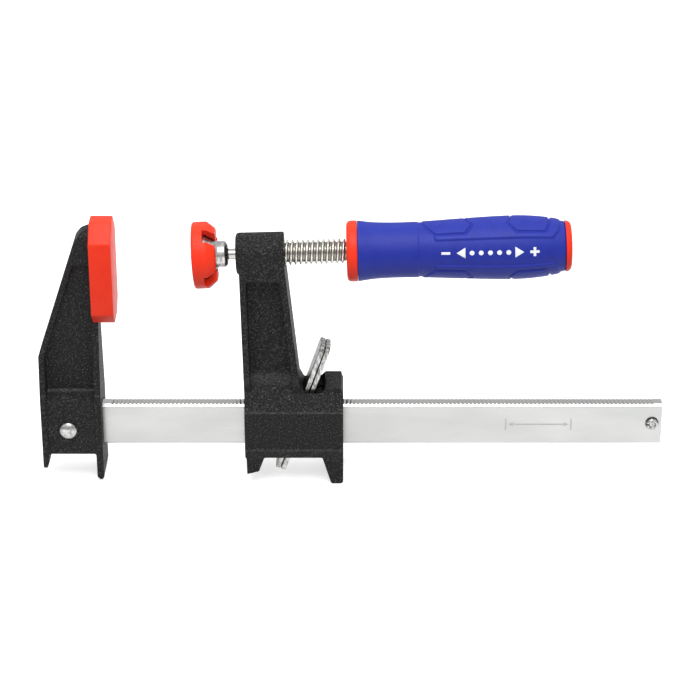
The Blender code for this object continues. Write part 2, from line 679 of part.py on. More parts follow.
# Threaded boss on the arm, on the tilted spindle axis
spindle_frame = frame("spindle_frame", (BALL_X, 0.0, ball_z), -SPINDLE_TILT)
boss_start = (ARM_X + front_top - BOSS_OVERHANG - BALL_X) / math.cos(SPINDLE_TILT)
boss_end = boss_start + BOSS_LENGTH
boss_profile = [
    (boss_start, 0.0),
    (boss_start, column_half - BOSS_EDGE),
    (boss_start + 0.3 * BOSS_EDGE, column_half - 0.3 * BOSS_EDGE),
    (boss_start + BOSS_EDGE, column_half),
    (boss_end, column_half),
    (boss_end, 0.0),
]
join(sliding_arm, turned("arm_boss", boss_profile), parent=spindle_frame)
cut(
    sliding_arm,
    rod(
        "spindle_bore",
        boss_start - CUT_OVERRUN,
        boss_end + CUT_OVERRUN,
        THREAD_DIAMETER + 2 * SLIDE_GAP,
        ROUND_STEPS,
    ),
    parent=spindle_frame,
)
arm_window_half = RAIL_HEIGHT / 2 + SLIDE_GAP
arm_window = mirrored([
    (RAIL_THICKNESS / 2 + SLIDE_GAP, -arm_window_half),
    (RAIL_THICKNESS / 2 + SLIDE_GAP, arm_window_half),
])
pocket_half = PLATE_WIDTH / 2 + POCKET_SIDE_GAP
pivot_z = ARM_ROOF_Z - FACE_STEP
pocket_floor = ARM_FLOOR_Z - JOIN_OVERLAP
plate_slope = math.tan(PLATE_LEAN)
lug_face = lug_start - FACE_STEP
pocket = [
    (POCKET_LEFT, ARM_ROOF_Z + CUT_OVERRUN),
    (POCKET_LEFT, pivot_z),
    (POCKET_LEFT - (pivot_z - pocket_floor) * plate_slope, pocket_floor),
    (lug_start - LUG_UNDERCUT, pocket_floor),
    (lug_face, ARM_ROOF_Z),
    (lug_face, ARM_ROOF_Z + CUT_OVERRUN),
]
cut(
    sliding_arm,
    cross_prism("arm_rail_window", [arm_window], -CUT_OVERRUN, ARM_LENGTH + CUT_OVERRUN),
    side_prism("plate_pocket", pocket, -pocket_half, pocket_half),
    parent=arm_frame,
)
place(sliding_arm, parent=arm_frame, look=black_casting)

# ---- Clutch plates, on a frame at the corner of the arm that they lean on ----
pivot = (ARM_X + POCKET_LEFT + FIT_GAP / math.cos(PLATE_LEAN), 0.0, RAIL_AXIS_Z + pivot_z)
clutch_frame = frame("clutch_frame", pivot, PLATE_LEAN)
stack = PLATE_COUNT * PLATE_THICKNESS + (PLATE_COUNT - 1) * FIT_GAP
window_half = (
    (RAIL_HEIGHT / 2 + FIT_GAP) + stack / 2 * math.sin(PLATE_LEAN)
) / math.cos(PLATE_LEAN)
window_centre = (-pivot_z + stack / 2 * math.sin(PLATE_LEAN)) / math.cos(PLATE_LEAN)
plate_half = PLATE_WIDTH / 2
corner = PLATE_CORNER
plate_edge = mirrored(
    [(plate_half - PLATE_LOW_CORNER, -PLATE_BELOW), (plate_half, PLATE_LOW_CORNER - PLATE_BELOW)]
    + arc((plate_half - corner, PLATE_ABOVE - corner), corner, 0.0, 90 * DEGREE)
)
plate_window = mirrored([
    (RAIL_THICKNESS / 2 + SLIDE_GAP, window_centre - window_half),
    (RAIL_THICKNESS / 2 + SLIDE_GAP, window_centre + window_half),
])
for number, side in enumerate(("front", "rear")):
    start = number * (PLATE_THICKNESS + FIT_GAP)
    plate = cross_prism(
        "clutch_plate_" + side, [plate_edge, plate_window], start, start + PLATE_THICKNESS
    )
    place(plate, parent=clutch_frame, look=bright_steel)

# ---- Clutch spring: a small coil between the plates and the lug ----
spring_z = RAIL_HEIGHT / 2 + SPRING_ABOVE_RAIL
spring_drop = pivot_z - spring_z
spring_radius = (SPRING_DIAMETER - SPRING_WIRE) / 2
spring_left = (
    POCKET_LEFT + (stack + 2 * FIT_GAP) / math.cos(PLATE_LEAN)
    - (spring_drop - SPRING_DIAMETER / 2) * plate_slope + SPRING_WIRE
)
lug_slope = (LUG_UNDERCUT - FACE_STEP) / (ARM_ROOF_Z - pocket_floor)
spring_right = lug_face - spring_drop * lug_slope - FIT_GAP - SPRING_WIRE
spring_curve = bpy.data.curves.new("clutch_spring", "CURVE")
spring_curve.dimensions = "3D"
spring_curve.bevel_depth = SPRING_WIRE / 2
spring_curve.bevel_resolution = 1
spring_curve.use_fill_caps = True
spring_line = spring_curve.splines.new("POLY")
spring_points = SPRING_COILS * SPRING_STEPS
spring_line.points.add(spring_points)
for step, point in enumerate(spring_line.points):
    turn = step / SPRING_STEPS * 2 * math.pi
    along = spring_left + (spring_right - spring_left) * step / spring_points
    point.co = (along, spring_radius * math.cos(turn), spring_radius * math.sin(turn), 1.0)
spring_object = bpy.data.objects.new("clutch_spring", spring_curve)
bpy.context.scene.collection.objects.link(spring_object)
clutch_spring = place(real_mesh(spring_object, "clutch_spring"), arm_frame, bright_steel)
clutch_spring.data.transform(Matrix.Translation((0.0, 0.0, spring_z)))

# ---- Ball stud: ball, neck and the tail pressed into the spindle ----
ball_radius = BALL_DIAMETER / 2
neck_radius = NECK_DIAMETER / 2
neck_angle = math.asin(neck_radius / ball_radius)
ball_arc = arc((0.0, 0.0), ball_radius, math.pi, neck_angle, BALL_STEPS)
ball_arc[0] = (ball_arc[0][0], 0.0)
stud_profile = ball_arc + [(THREAD_START + NECK_TAIL, neck_radius)]
stud_profile.append((stud_profile[-1][0], 0.0))
ball_stud = turned("ball_stud", stud_profile)
place(ball_stud, parent=spindle_frame, look=thread_steel)

# ---- Spindle: core, thread, and the tang inside the handle ----
tang_radius = TANG_DIAMETER / 2
root_radius = THREAD_DIAMETER / 2 - THREAD_DEPTH
hole_radius = neck_radius + FIT_GAP
hole_end = THREAD_START + NECK_TAIL + FIT_GAP
thread_end = HANDLE_START - FIT_GAP
spindle_profile = [
    (hole_end, 0.0),
    (hole_end, hole_radius),
    (THREAD_START, hole_radius),
    (THREAD_START, root_radius - THREAD_LEAD_IN),
    (THREAD_START + THREAD_LEAD_IN, root_radius),
    (thread_end, root_radius),
    (thread_end, tang_radius),
    (HANDLE_START + TANG_LENGTH, tang_radius),
    (HANDLE_START + TANG_LENGTH, 0.0),
]
spindle = turned("spindle", spindle_profile, THREAD_STEPS * 2)
flank = (THREAD_PITCH - THREAD_CREST - THREAD_ROOT_LAND) / 2
thread_low = root_radius - THREAD_SINK
thread_high = THREAD_DIAMETER / 2
ridge = bpy.data.meshes.new("thread_ridge")
ridge_corners = [
    (thread_low, 0.0, 0.0),
    (root_radius, 0.0, 0.0),
    (thread_high, 0.0, flank),
    (thread_high, 0.0, flank + THREAD_CREST),
    (root_radius, 0.0, 2 * flank + THREAD_CREST),
    (thread_low, 0.0, 2 * flank + THREAD_CREST),
]
ridge.from_pydata(ridge_corners, [(i, (i + 1) % 6) for i in range(6)], [])
ridge_object = bpy.data.objects.new("thread_ridge", ridge)
bpy.context.scene.collection.objects.link(ridge_object)
ridge_screw = ridge_object.modifiers.new("Thread", "SCREW")
ridge_screw.steps = THREAD_STEPS
ridge_screw.render_steps = THREAD_STEPS
threaded = thread_end - THREAD_START - 2 * THREAD_RUN_IN
ridge_screw.iterations = int(threaded / THREAD_PITCH) - 1
ridge_screw.screw_offset = THREAD_PITCH
thread_ridge = real_mesh(ridge_object, "thread_ridge")
ridge_shape = bmesh.new()
ridge_shape.from_mesh(thread_ridge.data)
bmesh.ops.holes_fill(ridge_shape, edges=ridge_shape.edges, sides=8)
bmesh.ops.recalc_face_normals(ridge_shape, faces=ridge_shape.faces)
ridge_shape.to_mesh(thread_ridge.data)
ridge_shape.free()
ridge_start = Matrix.Translation((THREAD_START + THREAD_RUN_IN, 0.0, 0.0))
thread_ridge.data.transform(ridge_start @ Matrix.Rotation(90 * DEGREE, 4, "Y"))
join(spindle, thread_ridge, parent=spindle_frame)
place(spindle, parent=spindle_frame, look=thread_steel)

# ---- Swivel cup: a spun steel cup crimped round the ball ----
swivel_frame = frame("swivel_frame", (BALL_X, 0.0, ball_z), -SWIVEL_TILT)
cup_radius = CUP_DIAMETER / 2
flare_radius = CUP_FLARE_DIAMETER / 2
socket_radius = ball_radius + FIT_GAP
lip_angle = math.acos(CUP_BACK / socket_radius)
socket = arc((0.0, 0.0), socket_radius, lip_angle, math.pi, BALL_STEPS)
socket[-1] = (socket[-1][0], 0.0)
cup_profile = [
    (CUP_FLARE_END - CUP_PLATE, 0.0),
    (CUP_FLARE_END - CUP_PLATE, flare_radius),
    (CUP_FLARE_END, flare_radius),
    (CUP_FLARE_START, cup_radius),
    (CUP_BACK - CUP_CRIMP, cup_radius),
    (CUP_BACK - 0.3 * CUP_CRIMP, cup_radius - 0.3 * CUP_CRIMP),
    (CUP_BACK, cup_radius - CUP_CRIMP),
]
swivel_cup = turned("swivel_cup", cup_profile + socket)
place(swivel_cup, parent=swivel_frame, look=bright_steel)

# ---- Swivel pad: a plastic cap over the cup's flare, with slots in its rear shoulder ----
pad_radius = SWIVEL_PAD_DIAMETER / 2
flare_slope = (flare_radius - cup_radius) / (CUP_FLARE_START - CUP_FLARE_END)
mouth_radius = cup_radius + (CUP_FLARE_START - SWIVEL_PAD_BACK) * flare_slope + 2 * FIT_GAP
swivel_profile = [
    (SWIVEL_PAD_FACE, 0.0),
    (SWIVEL_PAD_FACE, pad_radius - SWIVEL_PAD_RIM),
    (SWIVEL_PAD_FACE + 0.3 * SWIVEL_PAD_RIM, pad_radius - 0.3 * SWIVEL_PAD_RIM),
    (SWIVEL_PAD_FACE + SWIVEL_PAD_RIM, pad_radius),
    (SWIVEL_PAD_SHOULDER, pad_radius),
    (SWIVEL_PAD_BACK - SWIVEL_PAD_EDGE, pad_radius - SWIVEL_PAD_CHAMFER),
    (SWIVEL_PAD_BACK, pad_radius - SWIVEL_PAD_CHAMFER - SWIVEL_PAD_EDGE),
    (SWIVEL_PAD_BACK, mouth_radius),
    (CUP_FLARE_END + PAD_MOUTH_GAP, flare_radius + PAD_MOUTH_GAP * flare_slope),
    (CUP_FLARE_END, flare_radius + FIT_GAP),
    (CUP_FLARE_END - CUP_PLATE - FIT_GAP, flare_radius + FIT_GAP),
    (CUP_FLARE_END - CUP_PLATE - FIT_GAP, 0.0),
]
swivel_pad = turned("swivel_pad", swivel_profile)
slot_outline = [
    (-PAD_SLOT_WIDTH / 2, pad_radius - PAD_SLOT_INWARD),
    (PAD_SLOT_WIDTH / 2, pad_radius - PAD_SLOT_INWARD),
    (PAD_SLOT_WIDTH / 2, pad_radius + CUT_OVERRUN),
    (-PAD_SLOT_WIDTH / 2, pad_radius + CUT_OVERRUN),
]
slot_floor = SWIVEL_PAD_BACK - PAD_SLOT_DEPTH
for number in range(PAD_SLOT_COUNT):
    slot_name = "pad_slot_" + str(number + 1)
    slot = cross_prism(slot_name, [slot_outline], slot_floor, SWIVEL_PAD_BACK + CUT_OVERRUN)
    slot_turn = PAD_SLOT_TURN + number * 2 * math.pi / PAD_SLOT_COUNT
    slot.data.transform(Matrix.Rotation(slot_turn, 4, "X"))
    cut(swivel_pad, slot, parent=swivel_frame)
place(swivel_pad, parent=swivel_frame, look=red_plastic)

# ---- Handle core: collar, shank and end button in one moulding ----
core_radius = CORE_DIAMETER / 2
collar_radius = COLLAR_DIAMETER / 2
button_radius = BUTTON_DIAMETER / 2
handle_end = HANDLE_START + HANDLE_LENGTH
collar_end = HANDLE_START + COLLAR_LENGTH
button_start = handle_end - BUTTON_LENGTH
core_bore = tang_radius + FIT_GAP
core_profile = [
    (HANDLE_START + TANG_LENGTH + FIT_GAP, 0.0),
    (HANDLE_START + TANG_LENGTH + FIT_GAP, core_bore),
    (HANDLE_START, core_bore),
    (HANDLE_START, collar_radius - COLLAR_EDGE),
    (HANDLE_START + 0.3 * COLLAR_EDGE, collar_radius - 0.3 * COLLAR_EDGE),
    (HANDLE_START + COLLAR_EDGE, collar_radius),
    (collar_end - 0.5 * COLLAR_EDGE, collar_radius),
    (collar_end, collar_radius - 0.3 * COLLAR_EDGE),
    (collar_end, core_radius),
    (button_start, core_radius),
    (button_start, button_radius),
    (handle_end - BUTTON_EDGE, button_radius - 0.3 * BUTTON_EDGE),
    (handle_end - 0.3 * BUTTON_EDGE, button_radius - BUTTON_EDGE),
    (handle_end, button_radius - 2.2 * BUTTON_EDGE),
    (handle_end, 0.0),
]
handle_core = turned("handle_core", core_profile)
place(handle_core, parent=spindle_frame, look=red_plastic)

# ---- Handle grip: a soft sleeve with raised bands parted by shallow grooves ----
grip_start = collar_end + FIT_GAP
grip_end = button_start - FIT_GAP
grip_length = grip_end - grip_start
groove_half = GRIP_GROOVE_WIDTH / 2 / grip_length
step_share = 0.35 * groove_half


def grip_radius(share):
    """The sleeve's radius without its relief, by linear steps between the listed diameters."""
    for (low, small), (high, large) in zip(GRIP_SHAPE, GRIP_SHAPE[1:]):
        if share <= high:
            return (small + (large - small) * (share - low) / (high - low)) / 2
    return GRIP_SHAPE[-1][1] / 2


relief_start, relief_end = GRIP_RELIEF_ENDS
grip_marks = [(share, 0.0) for share, _ in GRIP_SHAPE if share <= relief_start]
grip_marks += [(relief_start - step_share, 0.0), (relief_start + step_share, GRIP_RELIEF)]
for groove in GRIP_GROOVES:
    grip_marks += [
        (groove - groove_half, GRIP_RELIEF),
        (groove - groove_half + step_share, 0.0),
        (groove + groove_half - step_share, 0.0),
        (groove + groove_half, GRIP_RELIEF),
    ]
grip_marks += [
    (share, GRIP_RELIEF)
    for share, _ in GRIP_SHAPE
    if relief_start + 2 * step_share < share < relief_end - 2 * step_share
]
grip_marks += [(relief_end - step_share, GRIP_RELIEF), (relief_end + step_share, 0.0)]
grip_marks += [(share, 0.0) for share, _ in GRIP_SHAPE if share > relief_end + step_share]
grip_marks.sort()
sleeve_bore = core_radius + FIT_GAP
grip_profile = [(grip_start, sleeve_bore)]
grip_profile += [(grip_start + s * grip_length, grip_radius(s) + relief) for s, relief in grip_marks]
grip_profile += [(grip_end, sleeve_bore), (grip_start, sleeve_bore)]
handle_grip = turned("handle_grip", grip_profile)
place(handle_grip, parent=spindle_frame, look=blue_rubber)
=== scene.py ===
"""An F clamp in its finished materials: cast jaws, plated rail, screw and soft handle."""

import json
import math

import bmesh
import bpy
from mathutils import Matrix, Vector


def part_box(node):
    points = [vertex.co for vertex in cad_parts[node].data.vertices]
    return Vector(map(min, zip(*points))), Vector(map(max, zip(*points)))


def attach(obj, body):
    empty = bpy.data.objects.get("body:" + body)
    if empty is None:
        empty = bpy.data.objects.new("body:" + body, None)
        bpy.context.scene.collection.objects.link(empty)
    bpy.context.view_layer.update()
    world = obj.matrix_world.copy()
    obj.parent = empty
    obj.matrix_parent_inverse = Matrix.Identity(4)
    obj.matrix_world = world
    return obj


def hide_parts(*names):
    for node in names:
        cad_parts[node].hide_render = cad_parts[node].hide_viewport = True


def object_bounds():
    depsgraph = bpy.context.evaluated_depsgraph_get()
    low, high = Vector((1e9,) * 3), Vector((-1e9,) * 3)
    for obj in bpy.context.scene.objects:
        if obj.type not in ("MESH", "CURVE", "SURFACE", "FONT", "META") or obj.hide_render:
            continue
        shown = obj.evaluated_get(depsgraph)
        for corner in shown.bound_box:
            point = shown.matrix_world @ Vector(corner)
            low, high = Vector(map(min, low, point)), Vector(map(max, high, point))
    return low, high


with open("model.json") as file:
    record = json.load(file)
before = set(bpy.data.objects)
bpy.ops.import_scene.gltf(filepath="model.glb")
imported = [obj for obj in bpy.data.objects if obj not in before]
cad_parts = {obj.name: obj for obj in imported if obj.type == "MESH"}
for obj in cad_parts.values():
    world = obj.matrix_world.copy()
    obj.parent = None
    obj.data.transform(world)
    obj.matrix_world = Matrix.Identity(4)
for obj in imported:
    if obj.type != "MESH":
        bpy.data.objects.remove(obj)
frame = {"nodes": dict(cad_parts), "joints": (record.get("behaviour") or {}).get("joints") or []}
cad_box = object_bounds()

# ---- Fixed jaw ----
# The fixed jaw is cast iron, poured in sand and then powder coated black.
# Its edges and inner corners are soft from the mould.
# The coat stands in fine pebbles, and the brightest specks in its colour are painted glints.
# It is riveted to the end of the rail, with its plastic pad pushed over its head.

MM = 0.001
JAW_SKIN = 0.32 * MM
JAW_ROUNDING = 5
JAW_RAMP_TOP = -50.6 * MM
WELD_REACH = 0.003 * MM
FLAT_WITHIN = math.radians(0.4)
SKIN_KEPT = 0.4
COAT_DARK = (0.0035, 0.0035, 0.0038, 1.0)
COAT_LIGHT = (0.012, 0.012, 0.0125, 1.0)
COAT_PAINTED_GLINT = (0.07, 0.07, 0.073, 1.0)
COAT_PAINTED_HIGHLIGHT = (0.075, 0.075, 0.078, 1.0)
COAT_GLOSS = 0.2
GRIT_SIZE = 0.62 * MM
GRIT_RISE = 0.22 * MM
PEBBLE_SIZE = 0.9 * MM
PEBBLE_RISE = 0.3 * MM


def new_piece(name, data):
    """A new piece in the scene, made of this mesh, curve, lamp or camera."""
    piece = bpy.data.objects.new(name, data)
    bpy.context.scene.collection.objects.link(piece)
    return piece


def show(piece, body, material):
    """Gives a piece its finish and its body."""
    piece.data.materials.clear()
    piece.data.materials.append(material)
    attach(piece, body)


def welded_copy(node, name):
    """A new piece with a CAD node's shape, its corners welded and its flat faces whole again."""
    shape = bmesh.new()
    shape.from_mesh(frame["nodes"][node].data)
    bmesh.ops.remove_doubles(shape, verts=shape.verts, dist=WELD_REACH)
    bmesh.ops.dissolve_limit(
        shape, angle_limit=FLAT_WITHIN, verts=shape.verts, edges=shape.edges
    )
    points = [vertex.co.copy() for vertex in shape.verts]
    shape.verts.index_update()
    faces = [[vertex.index for vertex in face.verts] for face in shape.faces]
    shape.free()
    mesh = bpy.data.meshes.new(name)
    mesh.from_pydata(points, [], faces)
    return new_piece(name, mesh)


def settled(piece):
    """Turns a piece's modifiers into its plain mesh."""
    bpy.context.view_layer.update()
    graph = bpy.context.evaluated_depsgraph_get()
    mesh = bpy.data.meshes.new_from_object(piece.evaluated_get(graph))
    piece.modifiers.clear()
    piece.data = mesh
    mesh.name = piece.name
    return piece


def cast_piece(node, name, skin, rounding, mould_line=None, hollow=None):
    """A sand casting: one skin over the node's shape, with every edge and corner rounded."""
    piece = welded_copy(node, name)
    if hollow:
        carved(piece, hollow)
    remesh = piece.modifiers.new("Skin", "REMESH")
    remesh.mode = "VOXEL"
    remesh.voxel_size = skin
    smooth = piece.modifiers.new("Rounding", "SMOOTH")
    smooth.factor = 0.5
    smooth.iterations = rounding
    settled(piece)
    if mould_line:
        for vertex in piece.data.vertices:
            mould_line(vertex.co)
    thin = piece.modifiers.new("Thin", "DECIMATE")
    thin.ratio = SKIN_KEPT
    settled(piece)
    piece.data.shade_smooth()
    return piece


def new_finish(name, colour, roughness, metallic):
    """A material with its own Principled shader."""
    material = bpy.data.materials.new(name)
    material.use_nodes = True
    shader = material.node_tree.nodes["Principled BSDF"]
    shader.inputs["Base Color"].default_value = colour
    shader.inputs["Roughness"].default_value = roughness
    shader.inputs["Metallic"].default_value = metallic
    return material, material.node_tree, shader


def lumps(tree, size, detail=2.0, stretch=(1.0, 1.0, 1.0), rough=0.5):
    """Soft random lumps of about this size, fixed to the piece."""
    place = tree.nodes.new("ShaderNodeTexCoord")
    scale = tree.nodes.new("ShaderNodeMapping")
    scale.inputs["Scale"].default_value = [1.0 / (size * s) for s in stretch]
    noise = tree.nodes.new("ShaderNodeTexNoise")
    noise.inputs["Scale"].default_value = 1.0
    noise.inputs["Detail"].default_value = detail
    noise.inputs["Roughness"].default_value = rough
    tree.links.new(place.outputs["Object"], scale.inputs["Vector"])
    tree.links.new(scale.outputs["Vector"], noise.inputs["Vector"])
    return noise.outputs["Fac"]


def shades(tree, factor, stops):
    """Colours along a pattern: (where, colour) pairs from its low parts to its high ones."""
    ramp = tree.nodes.new("ShaderNodeValToRGB")
    points = ramp.color_ramp.elements
    while len(points) < len(stops):
        points.new(0.5)
    for point, (where, colour) in zip(points, stops):
        point.position = where
        point.color = colour
    tree.links.new(factor, ramp.inputs["Fac"])
    return ramp.outputs["Color"]


def spread(tree, factor, low, high, start=0.3, end=0.7):
    """Numbers from low to high along a pattern."""
    scale = tree.nodes.new("ShaderNodeMapRange")
    limits = (("From Min", start), ("From Max", end), ("To Min", low), ("To Max", high))
    for name, value in limits:
        scale.inputs[name].default_value = value
    tree.links.new(factor, scale.inputs["Value"])
    return scale.outputs["Result"]


def relief(tree, height, depth, strength, under=None):
    """A surface relief of this depth, laid over another one if there is one."""
    bump = tree.nodes.new("ShaderNodeBump")
    bump.inputs["Strength"].default_value = strength
    bump.inputs["Distance"].default_value = depth
    tree.links.new(height, bump.inputs["Height"])
    if under:
        tree.links.new(under, bump.inputs["Normal"])
    return bump.outputs["Normal"]


def powder_coat(name, highlight_lines):
    """The pebbled black coat, painted paler along level lines as highlights: (height, half width,
    strength).
    """
    coat, tree, shader = new_finish(name, COAT_DARK, 0.6, 0.0)
    shader.inputs["Specular IOR Level"].default_value = COAT_GLOSS
    grit = lumps(tree, GRIT_SIZE, 2.0, rough=0.6)
    pebbles = lumps(tree, PEBBLE_SIZE, 3.0)
    # Painted glints: the lightest grit specks stand in for light caught on the pebbles.
    colour = shades(tree, grit, [(0.40, COAT_DARK), (0.56, COAT_LIGHT), (0.68, COAT_PAINTED_GLINT)])
    place = tree.nodes.new("ShaderNodeTexCoord")
    parts = tree.nodes.new("ShaderNodeSeparateXYZ")
    tree.links.new(place.outputs["Object"], parts.inputs["Vector"])
    for level, half, strength in highlight_lines:
        away = tree.nodes.new("ShaderNodeMath")
        away.operation = "SUBTRACT"
        away.inputs[1].default_value = level
        tree.links.new(parts.outputs["Z"], away.inputs[0])
        size = tree.nodes.new("ShaderNodeMath")
        size.operation = "ABSOLUTE"
        tree.links.new(away.outputs["Value"], size.inputs[0])
        near = spread(tree, size.outputs["Value"], strength, 0.0, 0.2 * half, half)
        patch = tree.nodes.new("ShaderNodeMath")
        patch.operation = "MULTIPLY"
        tree.links.new(near, patch.inputs[0])
        tree.links.new(spread(tree, pebbles, 0.25, 1.0, 0.4, 0.58), patch.inputs[1])
        # Painted highlight: the coat is painted paler along each line, broken up by the pebbles.
        painted_highlight_mix = tree.nodes.new("ShaderNodeMix")
        painted_highlight_mix.data_type = "RGBA"
        painted_highlight_mix.inputs["B"].default_value = COAT_PAINTED_HIGHLIGHT
        tree.links.new(patch.outputs["Value"], painted_highlight_mix.inputs["Factor"])
        tree.links.new(colour, painted_highlight_mix.inputs["A"])
        colour = painted_highlight_mix.outputs["Result"]
    tree.links.new(colour, shader.inputs["Base Color"])
    tree.links.new(spread(tree, grit, 0.72, 0.48), shader.inputs["Roughness"])
    tree.links.new(
        relief(tree, grit, GRIT_RISE, 0.9, relief(tree, pebbles, PEBBLE_RISE, 0.6)),
        shader.inputs["Normal"],
    )
    return coat


# A paler line is painted along the top of the jaw's ramp as a highlight.
jaw_coat = powder_coat("jaw_powder_coat", [(JAW_RAMP_TOP, 0.6 * MM, 0.8)])
cast_jaw = cast_piece("fixed_jaw", "cast_jaw", JAW_SKIN, JAW_ROUNDING)
show(cast_jaw, "rail", jaw_coat)
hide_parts("fixed_jaw")

# ---- Jaw rivet ----
# A steel rivet holds the jaw on the rail, its two heads snapped to low domes.
# Each head has a faint rim where the snap tool stopped.

RIVET_HEAD_RADIUS = 3.55 * MM
RIVET_HEAD_HEIGHT = 1.6 * MM
RIVET_STEPS = 9
RIVET_SIDES = 64
ON_AXIS = 1e-7
TURNED_CREASE = math.radians(32)
BRIGHT_STEEL = [(0.3, (0.21, 0.21, 0.21, 1.0)), (0.62, (0.52, 0.52, 0.51, 1.0))]
CLOUD_SIZE = 1.1 * MM
CLOUD_RISE = 0.05 * MM


def closed_mesh(name, points, faces, crease):
    """A smooth mesh of these points and faces, turned to face outward, sharp where it creases."""
    mesh = bpy.data.meshes.new(name)
    mesh.from_pydata(points, [], faces)
    shape = bmesh.new()
    shape.from_mesh(mesh)
    bmesh.ops.recalc_face_normals(shape, faces=shape.faces)
    shape.to_mesh(mesh)
    shape.free()
    mesh.shade_smooth()
    mesh.set_sharp_from_angle(angle=crease)
    return mesh


def turned(name, profile, steps, along, centre):
    """A lathe shape: (distance, radius) points, turned round the axis through the centre."""
    side = along.orthogonal().normalized()
    if abs(along.x) > 0.9:
        side = along.cross(Vector((0, 1, 0))).normalized()
    other = along.cross(side)
    points = []
    rings = []
    for distance, radius in profile:
        start = len(points)
        if radius < ON_AXIS:
            points.append(centre + along * distance)
            rings.append([start] * steps)
            continue
        for step in range(steps):
            angle = 2 * math.pi * step / steps
            spoke = side * math.cos(angle) + other * math.sin(angle)
            points.append(centre + along * distance + spoke * radius)
        rings.append([start + step for step in range(steps)])
    faces = []
    for low, high in zip(rings, rings[1:]):
        for step in range(steps):
            after = (step + 1) % steps
            corners = [low[step], low[after], high[after], high[step]]
            corners = [c for i, c in enumerate(corners) if c not in corners[:i]]
            if len(corners) > 2:
                faces.append(corners)
    return new_piece(name, closed_mesh(name, points, faces, TURNED_CREASE))


def rounded(corners, steps=4):
    """A profile with its corners rounded: (distance, radius, rounding) for each corner."""
    points = []
    for i, (x, r, size) in enumerate(corners):
        here = Vector((x, r))
        if not size or i in (0, len(corners) - 1):
            points.append((x, r))
            continue
        back = (Vector(corners[i - 1][:2]) - here).normalized()
        ahead = (Vector(corners[i + 1][:2]) - here).normalized()
        for step in range(steps + 1):
            t = step / steps
            spot = here + back * size * (1 - t) ** 2 + ahead * size * t**2
            points.append((spot.x, spot.y))
    return points


rivet_low, rivet_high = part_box("jaw_rivet")
rivet_centre = (rivet_low + rivet_high) / 2
rivet_tip = (rivet_high.y - rivet_low.y) / 2
dome = []
for step in range(RIVET_STEPS + 1):
    share = step / RIVET_STEPS
    radius = RIVET_HEAD_RADIUS * math.cos(share * math.pi / 2)
    height = RIVET_HEAD_HEIGHT * math.sin(share * math.pi / 2) ** 1.25
    dome.append((rivet_tip - RIVET_HEAD_HEIGHT + height, radius))
dome[-1] = (rivet_tip, 0.0)
rivet_profile = [(-distance, radius) for distance, radius in reversed(dome)] + dome
snapped_rivet = turned(
    "snapped_rivet", rivet_profile, RIVET_SIDES, Vector((0, 1, 0)), rivet_centre
)

plain_steel, tree, shader = new_finish("bright_steel", (0.62, 0.62, 0.61, 1.0), 0.3, 1.0)
cloud = lumps(tree, CLOUD_SIZE, 4.0, rough=0.6)
tree.links.new(shades(tree, cloud, BRIGHT_STEEL), shader.inputs["Base Color"])
tree.links.new(spread(tree, cloud, 0.4, 0.22), shader.inputs["Roughness"])
tree.links.new(relief(tree, cloud, CLOUD_RISE, 0.5), shader.inputs["Normal"])
show(snapped_rivet, "rail", plain_steel)
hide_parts("jaw_rivet")

# ---- Rail ----
# The rail is a flat steel bar, zinc plated, with bevelled edges and fine teeth along its top.
# The plates of the sliding arm bite on the bar, and the teeth keep it from creeping.

RAIL_SOFTNESS = 0.16 * MM
BROKEN_EDGE = math.radians(30)
DRAWN_LINE = 0.9 * MM
DRAWN_RISE = 0.008 * MM
ZINC_CLOUD = 12.0 * MM
ZINC_RISE = 0.05 * MM
ZINC = (0.485, 0.49, 0.48, 1.0)
ZINC_DARK = (0.425, 0.43, 0.42, 1.0)


def softened(node, name, width):
    """A machined piece: the node's own shape with its sharp edges broken by a small round."""
    piece = welded_copy(node, name)
    piece.data.shade_smooth()
    edge = piece.modifiers.new("Edges", "BEVEL")
    edge.width = width
    edge.segments = 2
    edge.limit_method = "ANGLE"
    edge.angle_limit = BROKEN_EDGE
    edge.use_clamp_overlap = True
    edge.harden_normals = True
    return settled(piece)


zinc, tree, shader = new_finish("zinc_plate", ZINC, 0.28, 1.0)
drawn = lumps(tree, DRAWN_LINE, 3.0, (30.0, 1.0, 1.0))
cloud = lumps(tree, ZINC_CLOUD, 2.0, (3.0, 1.0, 1.0))
tree.links.new(
    shades(tree, cloud, [(0.3, ZINC_DARK), (0.68, ZINC)]), shader.inputs["Base Color"]
)
tree.links.new(spread(tree, drawn, 0.33, 0.27), shader.inputs["Roughness"])
tree.links.new(
    relief(tree, drawn, DRAWN_RISE, 0.4, relief(tree, cloud, ZINC_RISE, 0.2)),
    shader.inputs["Normal"],
)
toothed_rail = softened("rail", "toothed_rail", RAIL_SOFTNESS)
show(toothed_rail, "rail", zinc)
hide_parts("rail")

# ---- Capacity mark ----
# A faint sign near the rail's free end stands for its capacity: a double arrow between two bars.
# It is etched into the plating, so it is only a little darker than the rail.

MARK_CENTRE = (166.5 * MM, -66.0 * MM)
MARK_LENGTH = 26.0 * MM
MARK_HEIGHT = 5.0 * MM
MARK_LINE = 0.55 * MM
MARK_THICKNESS = 0.02 * MM
ARROW_LENGTH = 2.2 * MM
ARROW_HALF = 0.9 * MM
ARROW_GAP = 0.8 * MM
LINE_GAP = 1.0 * MM
ETCHED_STEEL = [(0.3, (0.35, 0.35, 0.345, 1.0)), (0.7, (0.45, 0.45, 0.445, 1.0))]
ETCH_GRAIN = 0.3 * MM


def mesh_of(name, shape):
    """The mesh of a finished shape, which is then let go."""
    mesh = bpy.data.meshes.new(name)
    shape.to_mesh(mesh)
    shape.free()
    return mesh


